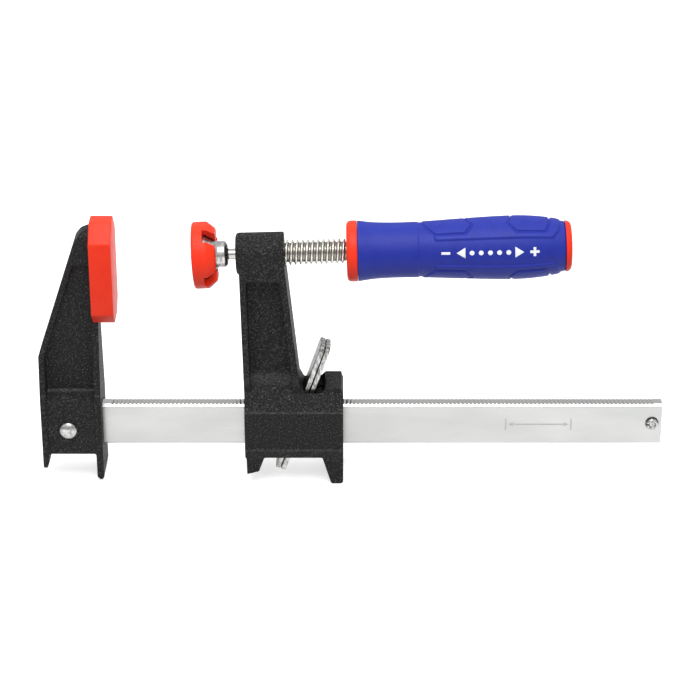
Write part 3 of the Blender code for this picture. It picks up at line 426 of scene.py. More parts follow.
def thickened(name, shape, flat, step):
    """A flat shape made solid by drawing it out by one step, as a new piece."""
    solid = bmesh.ops.extrude_face_region(shape, geom=flat)
    raised = [g for g in solid["geom"] if isinstance(g, bmesh.types.BMVert)]
    bmesh.ops.translate(shape, verts=raised, vec=step)
    bmesh.ops.recalc_face_normals(shape, faces=shape.faces)
    return new_piece(name, mesh_of(name, shape))


def flat_mark(name, outlines, y, facing):
    """Thin flat shapes on a side of the rail: (x, z) outlines, at that y, facing that way."""
    shape = bmesh.new()
    for outline in outlines:
        corners = [shape.verts.new((x, y, z)) for x, z in outline]
        face = shape.faces.new(corners)
        face.normal_update()
        if face.normal.y * facing < 0:
            face.normal_flip()
    return thickened(name, shape, list(shape.faces), (0, facing * MARK_THICKNESS, 0))


def bar(x, z, wide, high):
    """A rectangle round its middle."""
    return [(x - wide / 2, z - high / 2), (x + wide / 2, z - high / 2),
            (x + wide / 2, z + high / 2), (x - wide / 2, z + high / 2)]


def arrow_head(tip, z, way, length, half):
    """A triangle with its tip at this place, pointing one way or the other."""
    return [(tip, z), (tip - way * length, z + half), (tip - way * length, z - half)]


mark_x, mark_z = MARK_CENTRE
half_mark = MARK_LENGTH / 2
capacity_outlines = [
    bar(mark_x - half_mark, mark_z, MARK_LINE, MARK_HEIGHT),
    bar(mark_x + half_mark, mark_z, MARK_LINE, MARK_HEIGHT),
    bar(mark_x, mark_z, MARK_LENGTH - 2 * ARROW_LENGTH - 2 * LINE_GAP, MARK_LINE),
]
for way in (-1, 1):
    tip = mark_x + way * (half_mark - ARROW_GAP)
    capacity_outlines.append(arrow_head(tip, mark_z, way, ARROW_LENGTH, ARROW_HALF))
etched, tree, shader = new_finish("etched_zinc", (0.42, 0.42, 0.415, 1.0), 0.55, 1.0)
etch_grain = lumps(tree, ETCH_GRAIN, 2.0)
tree.links.new(spread(tree, etch_grain, 0.5, 0.7), shader.inputs["Roughness"])
tree.links.new(shades(tree, etch_grain, ETCHED_STEEL), shader.inputs["Base Color"])
rail_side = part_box("rail")[0].y
capacity_mark = flat_mark("capacity_mark", capacity_outlines, rail_side, -1)
show(capacity_mark, "rail", etched)

# ---- Stop pin ----
# A slit steel pin is driven through the free end of the rail, and keeps the arm from running off.
# Its slit faces the jaw. Its ends are chamfered to start in the hole, and each has a dimple.

PIN_RADIUS = 2.3 * MM
PIN_CHAMFER = 0.4 * MM
DIMPLE_RADIUS = 1.45 * MM
DIMPLE_DEPTH = 0.55 * MM
DIMPLE_DRAFT = 0.3 * MM
DIMPLE_CONE = 0.15 * MM
PIN_EDGE = 0.1 * MM
PIN_SIDES = 64
PIN_SLIT = 0.7 * MM
SLIT_DEPTH = 1.3 * MM
CUT_CREASE = math.radians(40)


def slab(name, outline, x_low, x_high):
    """A flat (y, z) outline made solid between two places along X."""
    shape = bmesh.new()
    face = shape.faces.new([shape.verts.new((x_low, y, z)) for y, z in outline])
    return thickened(name, shape, [face], (x_high - x_low, 0, 0))


def both_sides(half):
    """A closed outline from its right half."""
    return half + [(-y, z) for y, z in reversed(half)]


def carved(piece, *cutters):
    """Cuts the cutters out of the piece and removes them."""
    for cutter in cutters:
        step = piece.modifiers.new(cutter.name, "BOOLEAN")
        step.operation = "DIFFERENCE"
        step.solver = "EXACT"
        step.object = cutter
    settled(piece)
    for cutter in cutters:
        bpy.data.objects.remove(cutter, do_unlink=True)


def creased(piece, angle):
    """Shades a piece smooth, but for its sharp edges."""
    piece.data.shade_smooth()
    piece.data.set_sharp_from_angle(angle=angle)


pin_low, pin_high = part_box("rail_stop_pin")
pin_centre = (pin_low + pin_high) / 2
pin_end = (pin_high.y - pin_low.y) / 2
pin_half = [
    (pin_end - PIN_CHAMFER, PIN_RADIUS, PIN_EDGE),
    (pin_end, PIN_RADIUS - PIN_CHAMFER, PIN_EDGE),
    (pin_end, DIMPLE_RADIUS, PIN_EDGE),
    (pin_end - DIMPLE_DEPTH, DIMPLE_RADIUS - DIMPLE_DRAFT, 2 * PIN_EDGE),
    (pin_end - DIMPLE_DEPTH - DIMPLE_CONE, 0.0, 0),
]
pin_profile = rounded([(-x, r, size) for x, r, size in reversed(pin_half)] + pin_half)
spring_pin = turned("spring_pin", pin_profile, PIN_SIDES, Vector((0, 1, 0)), pin_centre)
slit_outline = [
    (y, pin_centre.z + z)
    for y, z in both_sides([(pin_end + MM, -PIN_SLIT / 2), (pin_end + MM, PIN_SLIT / 2)])
]
slit_start = pin_centre.x - PIN_RADIUS
carved(spring_pin, slab("pin_slit", slit_outline, slit_start - MM, slit_start + SLIT_DEPTH))
creased(spring_pin, CUT_CREASE)
show(spring_pin, "rail", plain_steel)
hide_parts("rail_stop_pin")

# ---- Pad on the fixed jaw ----
# A moulded red plastic cap is pushed over the jaw's head and keeps the iron off the work.
# It is an eight-sided slab with soft edges, with a pocket in its back that grips the head.

PAD_HALF_WIDTH = 10.25 * MM
PAD_HALF_HEIGHT = 20.8 * MM
PAD_CORNER = 6.7 * MM
PAD_LOW_CORNER = 5.2 * MM
PAD_EDGE = 0.5 * MM
FIT_GAP = 0.3 * MM
CUT_OVERRUN = 4.0 * MM
HEAD_HALF_WIDTH = 5.3 * MM
HEAD_TOP = 17.9 * MM
HEAD_CORNER = 2.5 * MM
RED = (0.98, 0.040, 0.010, 1.0)
RED_DEEP = (0.95, 0.033, 0.008, 1.0)
RED_GLOSS = 0.24
RED_CLOUD = 6.0 * MM
MOULD_GRAIN = 0.22 * MM
MOULD_RISE = 0.03 * MM

red_plastic, tree, shader = new_finish("red_plastic", RED, 0.42, 0.0)
shader.inputs["Specular IOR Level"].default_value = RED_GLOSS
cloud = lumps(tree, RED_CLOUD, 3.0)
mould_grain = lumps(tree, MOULD_GRAIN, 2.0)
tree.links.new(shades(tree, cloud, [(0.3, RED_DEEP), (0.65, RED)]), shader.inputs["Base Color"])
tree.links.new(spread(tree, mould_grain, 0.5, 0.38), shader.inputs["Roughness"])
tree.links.new(relief(tree, mould_grain, MOULD_RISE, 0.4), shader.inputs["Normal"])

pad_low, pad_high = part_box("fixed_pad")
pad_outline = both_sides([
    (PAD_HALF_WIDTH - PAD_LOW_CORNER, -PAD_HALF_HEIGHT),
    (PAD_HALF_WIDTH, -PAD_HALF_HEIGHT + PAD_LOW_CORNER),
    (PAD_HALF_WIDTH, PAD_HALF_HEIGHT - PAD_CORNER),
    (PAD_HALF_WIDTH - PAD_CORNER, PAD_HALF_HEIGHT),
])
head_outline = both_sides([
    (HEAD_HALF_WIDTH, -PAD_HALF_HEIGHT - CUT_OVERRUN),
    (HEAD_HALF_WIDTH, HEAD_TOP - HEAD_CORNER),
    (HEAD_HALF_WIDTH - HEAD_CORNER, HEAD_TOP),
])
jaw_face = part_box("fixed_jaw")[1].x
jaw_pad = slab("jaw_pad", pad_outline, pad_low.x, pad_high.x)
edge = jaw_pad.modifiers.new("Edges", "BEVEL")
edge.width = PAD_EDGE
edge.segments = 4
edge.limit_method = "ANGLE"
edge.angle_limit = BROKEN_EDGE
settled(jaw_pad)
creased(jaw_pad, CUT_CREASE)
carved(jaw_pad, slab("head_pocket", head_outline, pad_low.x - CUT_OVERRUN, jaw_face + FIT_GAP))
creased(jaw_pad, CUT_CREASE)
show(jaw_pad, "rail", red_plastic)
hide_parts("fixed_pad")

# ---- Sliding arm ----
# The sliding arm is the second iron casting, in the same coat: a webbed column on a broad foot.
# The foot runs on the rail, and the boss at the column's top is threaded for the screw.
# A pocket behind the column holds the clutch plates, with a mouth a little wider than they are.

ARM_SKIN = 0.34 * MM
ARM_ROUNDING = 4
ARM_RAMP_TOP = -44.6 * MM
MOUTH_REACH = (73.5 * MM, 81.5 * MM)
MOUTH_HALF = 7.9 * MM
MOUTH_FLOOR = -52.5 * MM
MOUTH_HEIGHT = 12.0 * MM
RIDGE_HEIGHT = 0.42 * MM
RIDGE_HALF = 0.5 * MM
RIDGE_BAND = 0.7 * MM
RIDGE_WAVES = (1.3 * MM, 3.1 * MM)
RIDGES = (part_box("rail")[1].z + 1.05 * MM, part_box("rail")[1].z - 15.25 * MM)
RIDGE_HIGHLIGHT = (0.55 * MM, 0.8)
RAMP_HIGHLIGHT = (3.0 * MM, 0.4)
foot_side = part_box("sliding_arm")[1].y


def foot_ridges(spot):
    """Raises the two faint ridges along each side of the foot, where the mould's faces meet."""
    if abs(spot.y) > foot_side - RIDGE_BAND:
        short, long = RIDGE_WAVES
        for ridge in RIDGES:
            wave = 1 + 0.25 * math.sin(spot.x / short) * math.sin(spot.x / long)
            swell = math.exp(-(((spot.z - ridge) / RIDGE_HALF) ** 2))
            spot.y += math.copysign(RIDGE_HEIGHT * wave * swell, spot.y)


mouth_outline = both_sides([
    (MOUTH_HALF, MOUTH_FLOOR), (MOUTH_HALF, MOUTH_FLOOR + MOUTH_HEIGHT)
])
pocket_mouth = slab("pocket_mouth", mouth_outline, *MOUTH_REACH)
cast_arm = cast_piece(
    "sliding_arm", "cast_arm", ARM_SKIN, ARM_ROUNDING, foot_ridges, pocket_mouth
)
# Paler lines are painted as highlights along both foot ridges and the top of the ramp.
arm_highlights = [(RIDGES[0], *RIDGE_HIGHLIGHT), (RIDGES[1], *RIDGE_HIGHLIGHT), (ARM_RAMP_TOP, *RAMP_HIGHLIGHT)]
arm_coat = powder_coat("arm_powder_coat", arm_highlights)
show(cast_arm, "arm", arm_coat)
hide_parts("sliding_arm")

# ---- Clutch plates ----
# Two stamped steel plates lean in the arm's pocket and bite on the rail under load.
# They are sheared and tumbled, so their steel is mottled; their darker flat sides and brighter
# edges are painted reflection.

PLATE_SOFTNESS = 0.32 * MM
PLATE_LEAN = math.radians(19.0)
PLATE_MOTTLE = 1.3 * MM
MOTTLE_RISE = 0.12 * MM
PIT_SIZE = 0.35 * MM
PIT_RISE = 0.04 * MM
EDGE_PAINTED_BRIGHT = [
    (0.36, (0.12, 0.12, 0.117, 1.0)),
    (0.48, (0.33, 0.33, 0.32, 1.0)),
    (0.6, (0.56, 0.56, 0.55, 1.0)),
]
SIDE_PAINTED_DARK = [(0.36, (0.06, 0.06, 0.058, 1.0)), (0.62, (0.17, 0.17, 0.166, 1.0))]
plate_steel, tree, shader = new_finish("stamped_steel", (0.66, 0.66, 0.65, 1.0), 0.3, 1.0)
cloud = lumps(tree, PLATE_MOTTLE, 4.0, (1.0, 1.0, 2.2), 0.7)
pits = lumps(tree, PIT_SIZE, 2.0)
painted_bright_edge = shades(tree, cloud, EDGE_PAINTED_BRIGHT)
painted_dark_side = shades(tree, cloud, SIDE_PAINTED_DARK)
place = tree.nodes.new("ShaderNodeTexCoord")
facing = tree.nodes.new("ShaderNodeVectorMath")
facing.operation = "DOT_PRODUCT"
facing.inputs[1].default_value = (math.cos(PLATE_LEAN), 0.0, -math.sin(PLATE_LEAN))
flatness = tree.nodes.new("ShaderNodeMath")
flatness.operation = "ABSOLUTE"
facing_light_mix = tree.nodes.new("ShaderNodeMix")
facing_light_mix.data_type = "RGBA"
tree.links.new(place.outputs["Normal"], facing.inputs[0])
tree.links.new(facing.outputs["Value"], flatness.inputs[0])
# Painted reflection: flat sides painted darker, as the dark arm they face, and edges painted
# brighter.
flat_side = spread(tree, flatness.outputs["Value"], 0.0, 1.0, 0.55, 0.9)
tree.links.new(flat_side, facing_light_mix.inputs["Factor"])
tree.links.new(painted_bright_edge, facing_light_mix.inputs["A"])
tree.links.new(painted_dark_side, facing_light_mix.inputs["B"])
tree.links.new(facing_light_mix.outputs["Result"], shader.inputs["Base Color"])
tree.links.new(spread(tree, cloud, 0.46, 0.26), shader.inputs["Roughness"])
tree.links.new(
    relief(tree, pits, PIT_RISE, 0.4, relief(tree, cloud, MOTTLE_RISE, 0.5)),
    shader.inputs["Normal"],
)
for side in ("front", "rear"):
    plate = softened("clutch_plate_" + side, "stamped_plate_" + side, PLATE_SOFTNESS)
    show(plate, "clutch", plate_steel)
    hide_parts("clutch_plate_" + side)

# ---- Clutch spring ----
# A small spring of round wire presses the plates back, so that they grip once they are let go.
# It is wound from music wire, oiled black.

WIRE_RADIUS = 0.3 * MM
SPRING_TURNS = 4
SPRING_POINTS = 24
OILED_BLACK = [(0.3, (0.02, 0.02, 0.02, 1.0)), (0.7, (0.08, 0.08, 0.075, 1.0))]
OIL_BLOOM = 0.5 * MM
spring_low, spring_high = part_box("clutch_spring")
spring_centre = (spring_low + spring_high) / 2
coil_radius = (spring_high.z - spring_low.z) / 2 - WIRE_RADIUS
coil_start = spring_low.x + WIRE_RADIUS
coil_length = spring_high.x - WIRE_RADIUS - coil_start
wire = bpy.data.curves.new("wire_spring", "CURVE")
wire.dimensions = "3D"
wire.bevel_depth = WIRE_RADIUS
wire.bevel_resolution = 3
wire.use_fill_caps = True
coil = wire.splines.new("POLY")
coil.points.add(SPRING_TURNS * SPRING_POINTS)
for step, point in enumerate(coil.points):
    share = step / (SPRING_TURNS * SPRING_POINTS)
    angle = 2 * math.pi * SPRING_TURNS * share
    ring = (coil_radius * math.cos(angle), coil_radius * math.sin(angle))
    point.co = (coil_start + coil_length * share, ring[0], spring_centre.z + ring[1], 1.0)
wire_spring = new_piece("wire_spring", wire)
oiled_wire, tree, shader = new_finish("oiled_wire", (0.05, 0.05, 0.048, 1.0), 0.45, 1.0)
bloom = lumps(tree, OIL_BLOOM, 3.0)
tree.links.new(shades(tree, bloom, OILED_BLACK), shader.inputs["Base Color"])
tree.links.new(spread(tree, bloom, 0.55, 0.38), shader.inputs["Roughness"])
show(wire_spring, "arm", oiled_wire)
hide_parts("clutch_spring")

# ---- Ball stud ----
# The screw ends in a turned steel ball on a thin bright neck.
# The swivel cup is crimped round the ball, and fine rings from the lathe still show on the neck.

screw_turn = next(joint for joint in frame["joints"] if joint["name"] == "screw_turn")
ball = Vector(screw_turn["pos_m"])
screw_axis = -Vector(screw_turn["axis"]).normalized()
BALL_RADIUS = 3.5 * MM
NECK_RADIUS = 2.1 * MM
NECK_END = 13.9 * MM
BALL_STEPS = 14
BALL_SIDES = 64
LATHE_STEEL = [(0.3, (0.26, 0.25, 0.235, 1.0)), (0.65, (0.52, 0.51, 0.49, 1.0))]
LATHE_LINE = 0.35 * MM
LATHE_RISE = 0.03 * MM
neck_angle = math.asin(NECK_RADIUS / BALL_RADIUS)
ball_profile = []
for step in range(BALL_STEPS + 1):
    angle = math.pi + (neck_angle - math.pi) * step / BALL_STEPS
    ball_profile.append((BALL_RADIUS * math.cos(angle), BALL_RADIUS * math.sin(angle)))
ball_profile[0] = (-BALL_RADIUS, 0.0)
ball_profile += [(NECK_END, NECK_RADIUS), (NECK_END, 0.0)]
turned_stud = turned("turned_stud", ball_profile, BALL_SIDES, screw_axis, ball)
turned_steel, tree, shader = new_finish("turned_steel", (0.62, 0.62, 0.60, 1.0), 0.25, 1.0)
tool_marks = lumps(tree, LATHE_LINE, 2.0, (1.0, 12.0, 12.0))
tree.links.new(shades(tree, tool_marks, LATHE_STEEL), shader.inputs["Base Color"])
tree.links.new(spread(tree, tool_marks, 0.34, 0.18), shader.inputs["Roughness"])
tree.links.new(relief(tree, tool_marks, LATHE_RISE, 0.5), shader.inputs["Normal"])
show(turned_stud, "stud", turned_steel)
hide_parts("ball_stud")

# ---- Screw spindle ----
# The screw is a steel rod with a rolled trapezoid thread, two millimetres to a turn.
# Its roots are painted darker as shade and its crests paler as highlights.

THREAD_START = 8.5 * MM
THREAD_END = 48.1 * MM
THREAD_RADIUS = 4.9 * MM
ROOT_RADIUS = 3.8 * MM
THREAD_PITCH = 2.0 * MM
THREAD_ROWS = 14
THREAD_SIDES = 72
THREAD_RUNOUT = (0.3 * MM, 1.6 * MM)
START_RADIUS = NECK_RADIUS + 0.3 * MM
TANG_RADIUS = 3.5 * MM
TANG_END = 92.4 * MM
FIELD_CREASE = math.radians(50)
ROOT_SHADE_TO_CREST_HIGHLIGHT = [
    (0.0, (0.28, 0.27, 0.24, 1.0)),
    (0.35, (0.46, 0.45, 0.41, 1.0)),
    (0.85, (0.76, 0.75, 0.72, 1.0)),
]
WORN_PATCHES = [(0.3, (0.72, 0.71, 0.68, 1.0)), (0.65, (1.0, 1.0, 1.0, 1.0))]
WEAR_SIZE = 0.8 * MM
WEAR_RISE = 0.05 * MM


def ease(value, low, high):
    """A soft step from 0 at low to 1 at high."""
    t = min(max((value - low) / (high - low), 0.0), 1.0)
    return t * t * (3 - 2 * t)


def thread_radius(distance, angle):
    """The rolled thread's radius: flat crest and root, soft flanks, a run-out at the start."""
    phase = ((distance - THREAD_START) / THREAD_PITCH - angle / (2 * math.pi)) % 1.0
    rise = ease(abs(phase - 0.5) * 2, 0.18, 0.72)
    first, full = THREAD_RUNOUT
    ends = ease(distance, THREAD_START + first, THREAD_START + full)
    return ROOT_RADIUS + (THREAD_RADIUS - ROOT_RADIUS) * (1 - rise) * (0.25 + 0.75 * ends)


def field(name, rows, sides, spot, along, centre, closed_ends):
    """A round body that changes along and round it: spot(row, angle) gives (distance, radius)."""
    side = along.cross(Vector((0, 1, 0))).normalized()
    other = along.cross(side)
    points = []
    faces = []
    for row in range(rows + 1):
        for step in range(sides):
            angle = 2 * math.pi * step / sides
            distance, radius = spot(row, angle)
            spoke = side * math.cos(angle) + other * math.sin(angle)
            points.append(centre + along * distance + spoke * radius)
    for row in range(rows):
        for step in range(sides):
            after = (step + 1) % sides
            here, there = row * sides, (row + 1) * sides
            faces.append([here + step, here + after, there + after, there + step])
    if closed_ends:
        faces.append([step for step in reversed(range(sides))])
        faces.append([rows * sides + step for step in range(sides)])
    return new_piece(name, closed_mesh(name, points, faces, FIELD_CREASE))


thread_rows = int((THREAD_END - THREAD_START) / THREAD_PITCH * THREAD_ROWS)


def thread_spot(row, angle):
    """Places the rows of the thread, then the plain tang inside the handle."""
    if row == 0:
        return THREAD_START, START_RADIUS
    if row > thread_rows + 1:
        return THREAD_END if row == thread_rows + 2 else TANG_END, TANG_RADIUS
    distance = THREAD_START + (THREAD_END - THREAD_START) * (row - 1) / thread_rows
    return distance, thread_radius(distance, -angle)


rolled_screw = field(
    "rolled_screw", thread_rows + 3, THREAD_SIDES, thread_spot, screw_axis, ball, True
)
screw_steel, tree, shader = new_finish("rolled_thread", (0.55, 0.54, 0.50, 1.0), 0.3, 1.0)
place = tree.nodes.new("ShaderNodeTexCoord")
from_ball = tree.nodes.new("ShaderNodeVectorMath")
from_ball.operation = "SUBTRACT"
from_ball.inputs[1].default_value = ball
across = tree.nodes.new("ShaderNodeVectorMath")
across.operation = "CROSS_PRODUCT"
across.inputs[1].default_value = screw_axis
reach = tree.nodes.new("ShaderNodeVectorMath")
reach.operation = "LENGTH"
tree.links.new(place.outputs["Object"], from_ball.inputs[0])
tree.links.new(from_ball.outputs["Vector"], across.inputs[0])
tree.links.new(across.outputs["Vector"], reach.inputs[0])
crest = spread(tree, reach.outputs["Value"], 0.0, 1.0, ROOT_RADIUS, THREAD_RADIUS)
wear = lumps(tree, WEAR_SIZE, 3.0, rough=0.6)
worn = tree.nodes.new("ShaderNodeMix")
worn.data_type = "RGBA"
worn.blend_type = "MULTIPLY"
worn.inputs["Factor"].default_value = 1.0
# Painted shade in the thread's roots and painted highlight on its crests, chosen by radius.
tree.links.new(shades(tree, crest, ROOT_SHADE_TO_CREST_HIGHLIGHT), worn.inputs["A"])
tree.links.new(shades(tree, wear, WORN_PATCHES), worn.inputs["B"])
tree.links.new(worn.outputs["Result"], shader.inputs["Base Color"])
tree.links.new(spread(tree, wear, 0.42, 0.24), shader.inputs["Roughness"])
tree.links.new(relief(tree, wear, WEAR_RISE, 0.4), shader.inputs["Normal"])
show(rolled_screw, "spindle", screw_steel)
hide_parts("spindle")

# ---- Swivel cup ----
# The swivel is a pressed steel cup, flared like a bell in front and crimped over the ball behind.
# It is zinc plated, in the same bright steel as the rivet.

SWIVEL_TILT = math.radians(3.0)
swivel_axis = Vector((math.cos(SWIVEL_TILT), 0.0, math.sin(SWIVEL_TILT)))
CUP_RADIUS = 5.1 * MM
FLARE_RADIUS = 9.5 * MM
FLARE_FRONT = -7.1 * MM
FLARE_BACK = -5.9 * MM
NECK_START = -1.6 * MM
CRIMP_START = 1.4 * MM
CRIMP_END = 2.5 * MM
CRIMP_FOLD = 1.1 * MM
CUP_EDGE = 0.25 * MM
CRIMP_EDGE = 0.3 * MM
CUP_BEND = 1.0 * MM
SOCKET_RADIUS = 3.8 * MM
SOCKET_STEPS = 12
CUP_SIDES = 96
lip_angle = math.acos(CRIMP_END / SOCKET_RADIUS)
socket = []
for step in range(SOCKET_STEPS + 1):
    angle = lip_angle + (math.pi - lip_angle) * step / SOCKET_STEPS
    socket.append((SOCKET_RADIUS * math.cos(angle), SOCKET_RADIUS * math.sin(angle)))
socket[-1] = (-SOCKET_RADIUS, 0.0)
cup_profile = rounded([
    (FLARE_FRONT, 0.0, 0),
    (FLARE_FRONT, FLARE_RADIUS, CUP_EDGE),
    (FLARE_BACK, FLARE_RADIUS, CUP_EDGE),
    (NECK_START, CUP_RADIUS, CUP_BEND),
    (CRIMP_START, CUP_RADIUS, CRIMP_EDGE),
    (CRIMP_END, CUP_RADIUS - CRIMP_FOLD, CRIMP_EDGE),
    (*socket[0], 0),
])
pressed_cup = turned("pressed_cup", cup_profile + socket[1:], CUP_SIDES, swivel_axis, ball)
show(pressed_cup, "swivel", plain_steel)
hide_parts("swivel_cup")

# ---- Swivel pad ----
# A round cap in the same red plastic snaps over the cup's flare.
# Four slots in its sloped back let the rim spring open over the steel, which shows through them.

CAP_RADIUS = 13.0 * MM
CAP_FACE = -10.9 * MM
CAP_SHOULDER = -5.2 * MM
CAP_BACK = -1.8 * MM
CAP_CHAMFER = 2.8 * MM
CAP_LIP = -5.5 * MM
CAP_LEDGE = -5.9 * MM
CAP_FLOOR = -7.4 * MM
FACE_ROUND = 1.1 * MM
SHOULDER_ROUND = 0.5 * MM
BACK_ROUND = 0.7 * MM
MOUTH_ROUND = 0.2 * MM
LIP_GAP = 0.4 * MM
FLARE_GAP = 0.35 * MM
CAP_SIDES = 96
CAP_CREASE = math.radians(32)
SLOT_WIDTH = 5.6 * MM
SLOT_DEPTH = 4.8 * MM
SLOT_REACH = 8.2 * MM
SLOT_TURN = math.radians(33.0)
SLOT_COUNT = 4
MOUTH_GAP = 0.8 * MM
mouth = CUP_RADIUS + MOUTH_GAP
cap_profile = rounded([
    (CAP_FACE, 0.0, 0),
    (CAP_FACE, CAP_RADIUS, FACE_ROUND),
    (CAP_SHOULDER, CAP_RADIUS, SHOULDER_ROUND),
    (CAP_BACK, CAP_RADIUS - CAP_CHAMFER, BACK_ROUND),
    (CAP_BACK, mouth, MOUTH_ROUND),
    (CAP_LIP, FLARE_RADIUS + LIP_GAP, 0),
    (CAP_LEDGE, FLARE_RADIUS + FLARE_GAP, 0),
    (CAP_FLOOR, FLARE_RADIUS + FLARE_GAP, 0),
    (CAP_FLOOR, 0.0, 0),
])
swivel_cap = turned("swivel_cap", cap_profile, CAP_SIDES, swivel_axis, ball)
swivel_place = Matrix.Translation(ball) @ Matrix.Rotation(-SWIVEL_TILT, 4, "Y")
slot_outline = [
    (-SLOT_WIDTH / 2, CAP_RADIUS - SLOT_REACH),
    (SLOT_WIDTH / 2, CAP_RADIUS - SLOT_REACH),
    (SLOT_WIDTH / 2, CAP_RADIUS + CUT_OVERRUN),
    (-SLOT_WIDTH / 2, CAP_RADIUS + CUT_OVERRUN),
]
slots = []
for number in range(SLOT_COUNT):
    cutter = slab("cap_slot", slot_outline, CAP_BACK - SLOT_DEPTH, CAP_BACK + CUT_OVERRUN)
    turn = Matrix.Rotation(SLOT_TURN + number * 2 * math.pi / SLOT_COUNT, 4, "X")
    cutter.data.transform(swivel_place @ turn)
    slots.append(cutter)
carved(swivel_cap, *slots)
creased(swivel_cap, CAP_CREASE)
show(swivel_cap, "swivel", red_plastic)
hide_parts("swivel_pad")

# ---- Handle core ----
# The handle's core is one red moulding on the screw's tang: a fat collar, a shank and a button.
# The soft grip is moulded over the shank, between the two.

HANDLE_START = 48.4 * MM
HANDLE_END = 135.1 * MM
COLLAR_RADIUS = 11.85 * MM
COLLAR_END = 52.6 * MM
BUTTON_START = 132.7 * MM
BUTTON_RADIUS = 10.0 * MM
BUTTON_TAPER = 0.5 * MM
SHANK_RADIUS = 8.0 * MM
COLLAR_ROUND = 2.0 * MM
COLLAR_EDGE = 0.5 * MM
BUTTON_EDGE = 0.3 * MM
BUTTON_ROUND = 1.7 * MM
CORE_SIDES = 96
core_profile = rounded([
    (TANG_END + FIT_GAP, 0.0, 0),
    (TANG_END + FIT_GAP, TANG_RADIUS + FIT_GAP, 0),
    (HANDLE_START, TANG_RADIUS + FIT_GAP, 0),
    (HANDLE_START, COLLAR_RADIUS, COLLAR_ROUND),
    (COLLAR_END, COLLAR_RADIUS, COLLAR_EDGE),
    (COLLAR_END, SHANK_RADIUS, 0),
    (BUTTON_START, SHANK_RADIUS, 0),
    (BUTTON_START, BUTTON_RADIUS, BUTTON_EDGE),
    (HANDLE_END, BUTTON_RADIUS - BUTTON_TAPER, BUTTON_ROUND),
    (HANDLE_END, 0.0, 0),
], 6)
moulded_core = turned("moulded_core", core_profile, CORE_SIDES, screw_axis, ball)
show(moulded_core, "spindle", red_plastic)
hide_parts("handle_core")

# ---- Handle grip ----
# The grip is soft blue rubber, moulded with raised panels parted by slanted grooves.
# The panels stand at its top and bottom, and a flat, slightly lower field faces each side.

GRIP_START = 52.7 * MM
GRIP_END = 132.6 * MM
GRIP_ROWS = 360
GRIP_SIDES = 288
GRIP_SPIN = math.radians(77.0)
GRIP_DIAMETERS = (23.6, 22.0, 21.4, 21.9, 23.3, 24.5, 24.6, 23.0, 20.2)
GRIP_SHARES = (0.0, 0.08, 0.20, 0.33, 0.50, 0.68, 0.80, 0.91, 1.0)
FIELD_DEPTH = 0.5 * MM
GROOVE_DEPTH = 0.6 * MM
SEAM_DEPTH = 0.18 * MM
END_ROUND = 0.2 * MM
END_LENGTH = 0.4 * MM
BORE_RADIUS = SHANK_RADIUS + FIT_GAP
# Corners as (distance in mm, angle from the field's middle in degrees).
PANEL_NEAR = (
    (77.5, 92.0), (77.9, 78.0), (79.7, 58.5), (82.5, 41.5),
    (93.8, 41.5), (96.0, 58.5), (93.4, 78.0), (92.8, 92.0),
)
PANEL_FAR = (
    (112.4, 92.0), (112.6, 78.0), (111.0, 58.5), (113.9, 41.5),
    (124.5, 41.5), (125.8, 58.5), (126.1, 78.0), (126.2, 92.0),
)
BAND = (
    (77.7, 92.0), (78.1, 78.0), (79.9, 58.5), (82.2, 40.0), (82.8, 27.6),
    (127.4, 27.6), (129.6, 44.0), (130.2, 60.0), (130.4, 92.0),
)
BAND_START = (74.0, 80.0)
SEAM = (75.9, 76.4, 77.6)
SPLIT_ANGLE = 91
DEGREE_LENGTH = 0.21
BLUE = (0.009, 0.024, 0.335, 1.0)
BLUE_DEEP = (0.007, 0.019, 0.30, 1.0)
BLUE_GLOSS = 0.35
BLUE_CLOUD = 5.0 * MM
RUBBER_GRAIN = 0.3 * MM
RUBBER_RISE = 0.05 * MM
GRIP_WELD = 0.002 * MM


def grip_profile(share):
    """The grip's radius along its length, on a soft curve through its diameters."""
    count = len(GRIP_SHARES)
    i = max(j for j in range(count - 1) if GRIP_SHARES[j] <= share or j == 0)
    low, high = GRIP_SHARES[i], GRIP_SHARES[i + 1]
    a, b = GRIP_DIAMETERS[i], GRIP_DIAMETERS[i + 1]
    before = GRIP_DIAMETERS[i - 1] if i else a
    after = GRIP_DIAMETERS[i + 2] if i + 2 < count else b
    slope_a = (b - before) / (high - GRIP_SHARES[max(i - 1, 0)])
    slope_b = (after - a) / (GRIP_SHARES[min(i + 2, count - 1)] - low)
    t = (share - low) / (high - low)
    span = high - low
    value = (2 * t**3 - 3 * t**2 + 1) * a + (t**3 - 2 * t**2 + t) * span * slope_a
    value += (3 * t**2 - 2 * t**3) * b + (t**3 - t**2) * span * slope_b
    return value / 2 * MM


def inside_by(spot, corners):
    """How far a spot is inside a panel, in mm, or below zero outside it."""
    x, y = spot[0], spot[1] * DEGREE_LENGTH
    nearest = 1e9
    inside = False
    for (x1, a1), (x2, a2) in zip(corners, corners[1:] + corners[:1]):
        y1, y2 = a1 * DEGREE_LENGTH, a2 * DEGREE_LENGTH
        run = (x2 - x1, y2 - y1)
        t = ((x - x1) * run[0] + (y - y1) * run[1]) / (run[0] ** 2 + run[1] ** 2)
        t = min(max(t, 0.0), 1.0)
        gap = math.hypot(x - x1 - t * run[0], y - y1 - t * run[1])
        if not (a1 > SPLIT_ANGLE and a2 > SPLIT_ANGLE):
            nearest = min(nearest, gap)
        if (y1 > y) != (y2 > y) and x < x1 + (y - y1) / (y2 - y1) * run[0]:
            inside = not inside
    return nearest if inside else -nearest


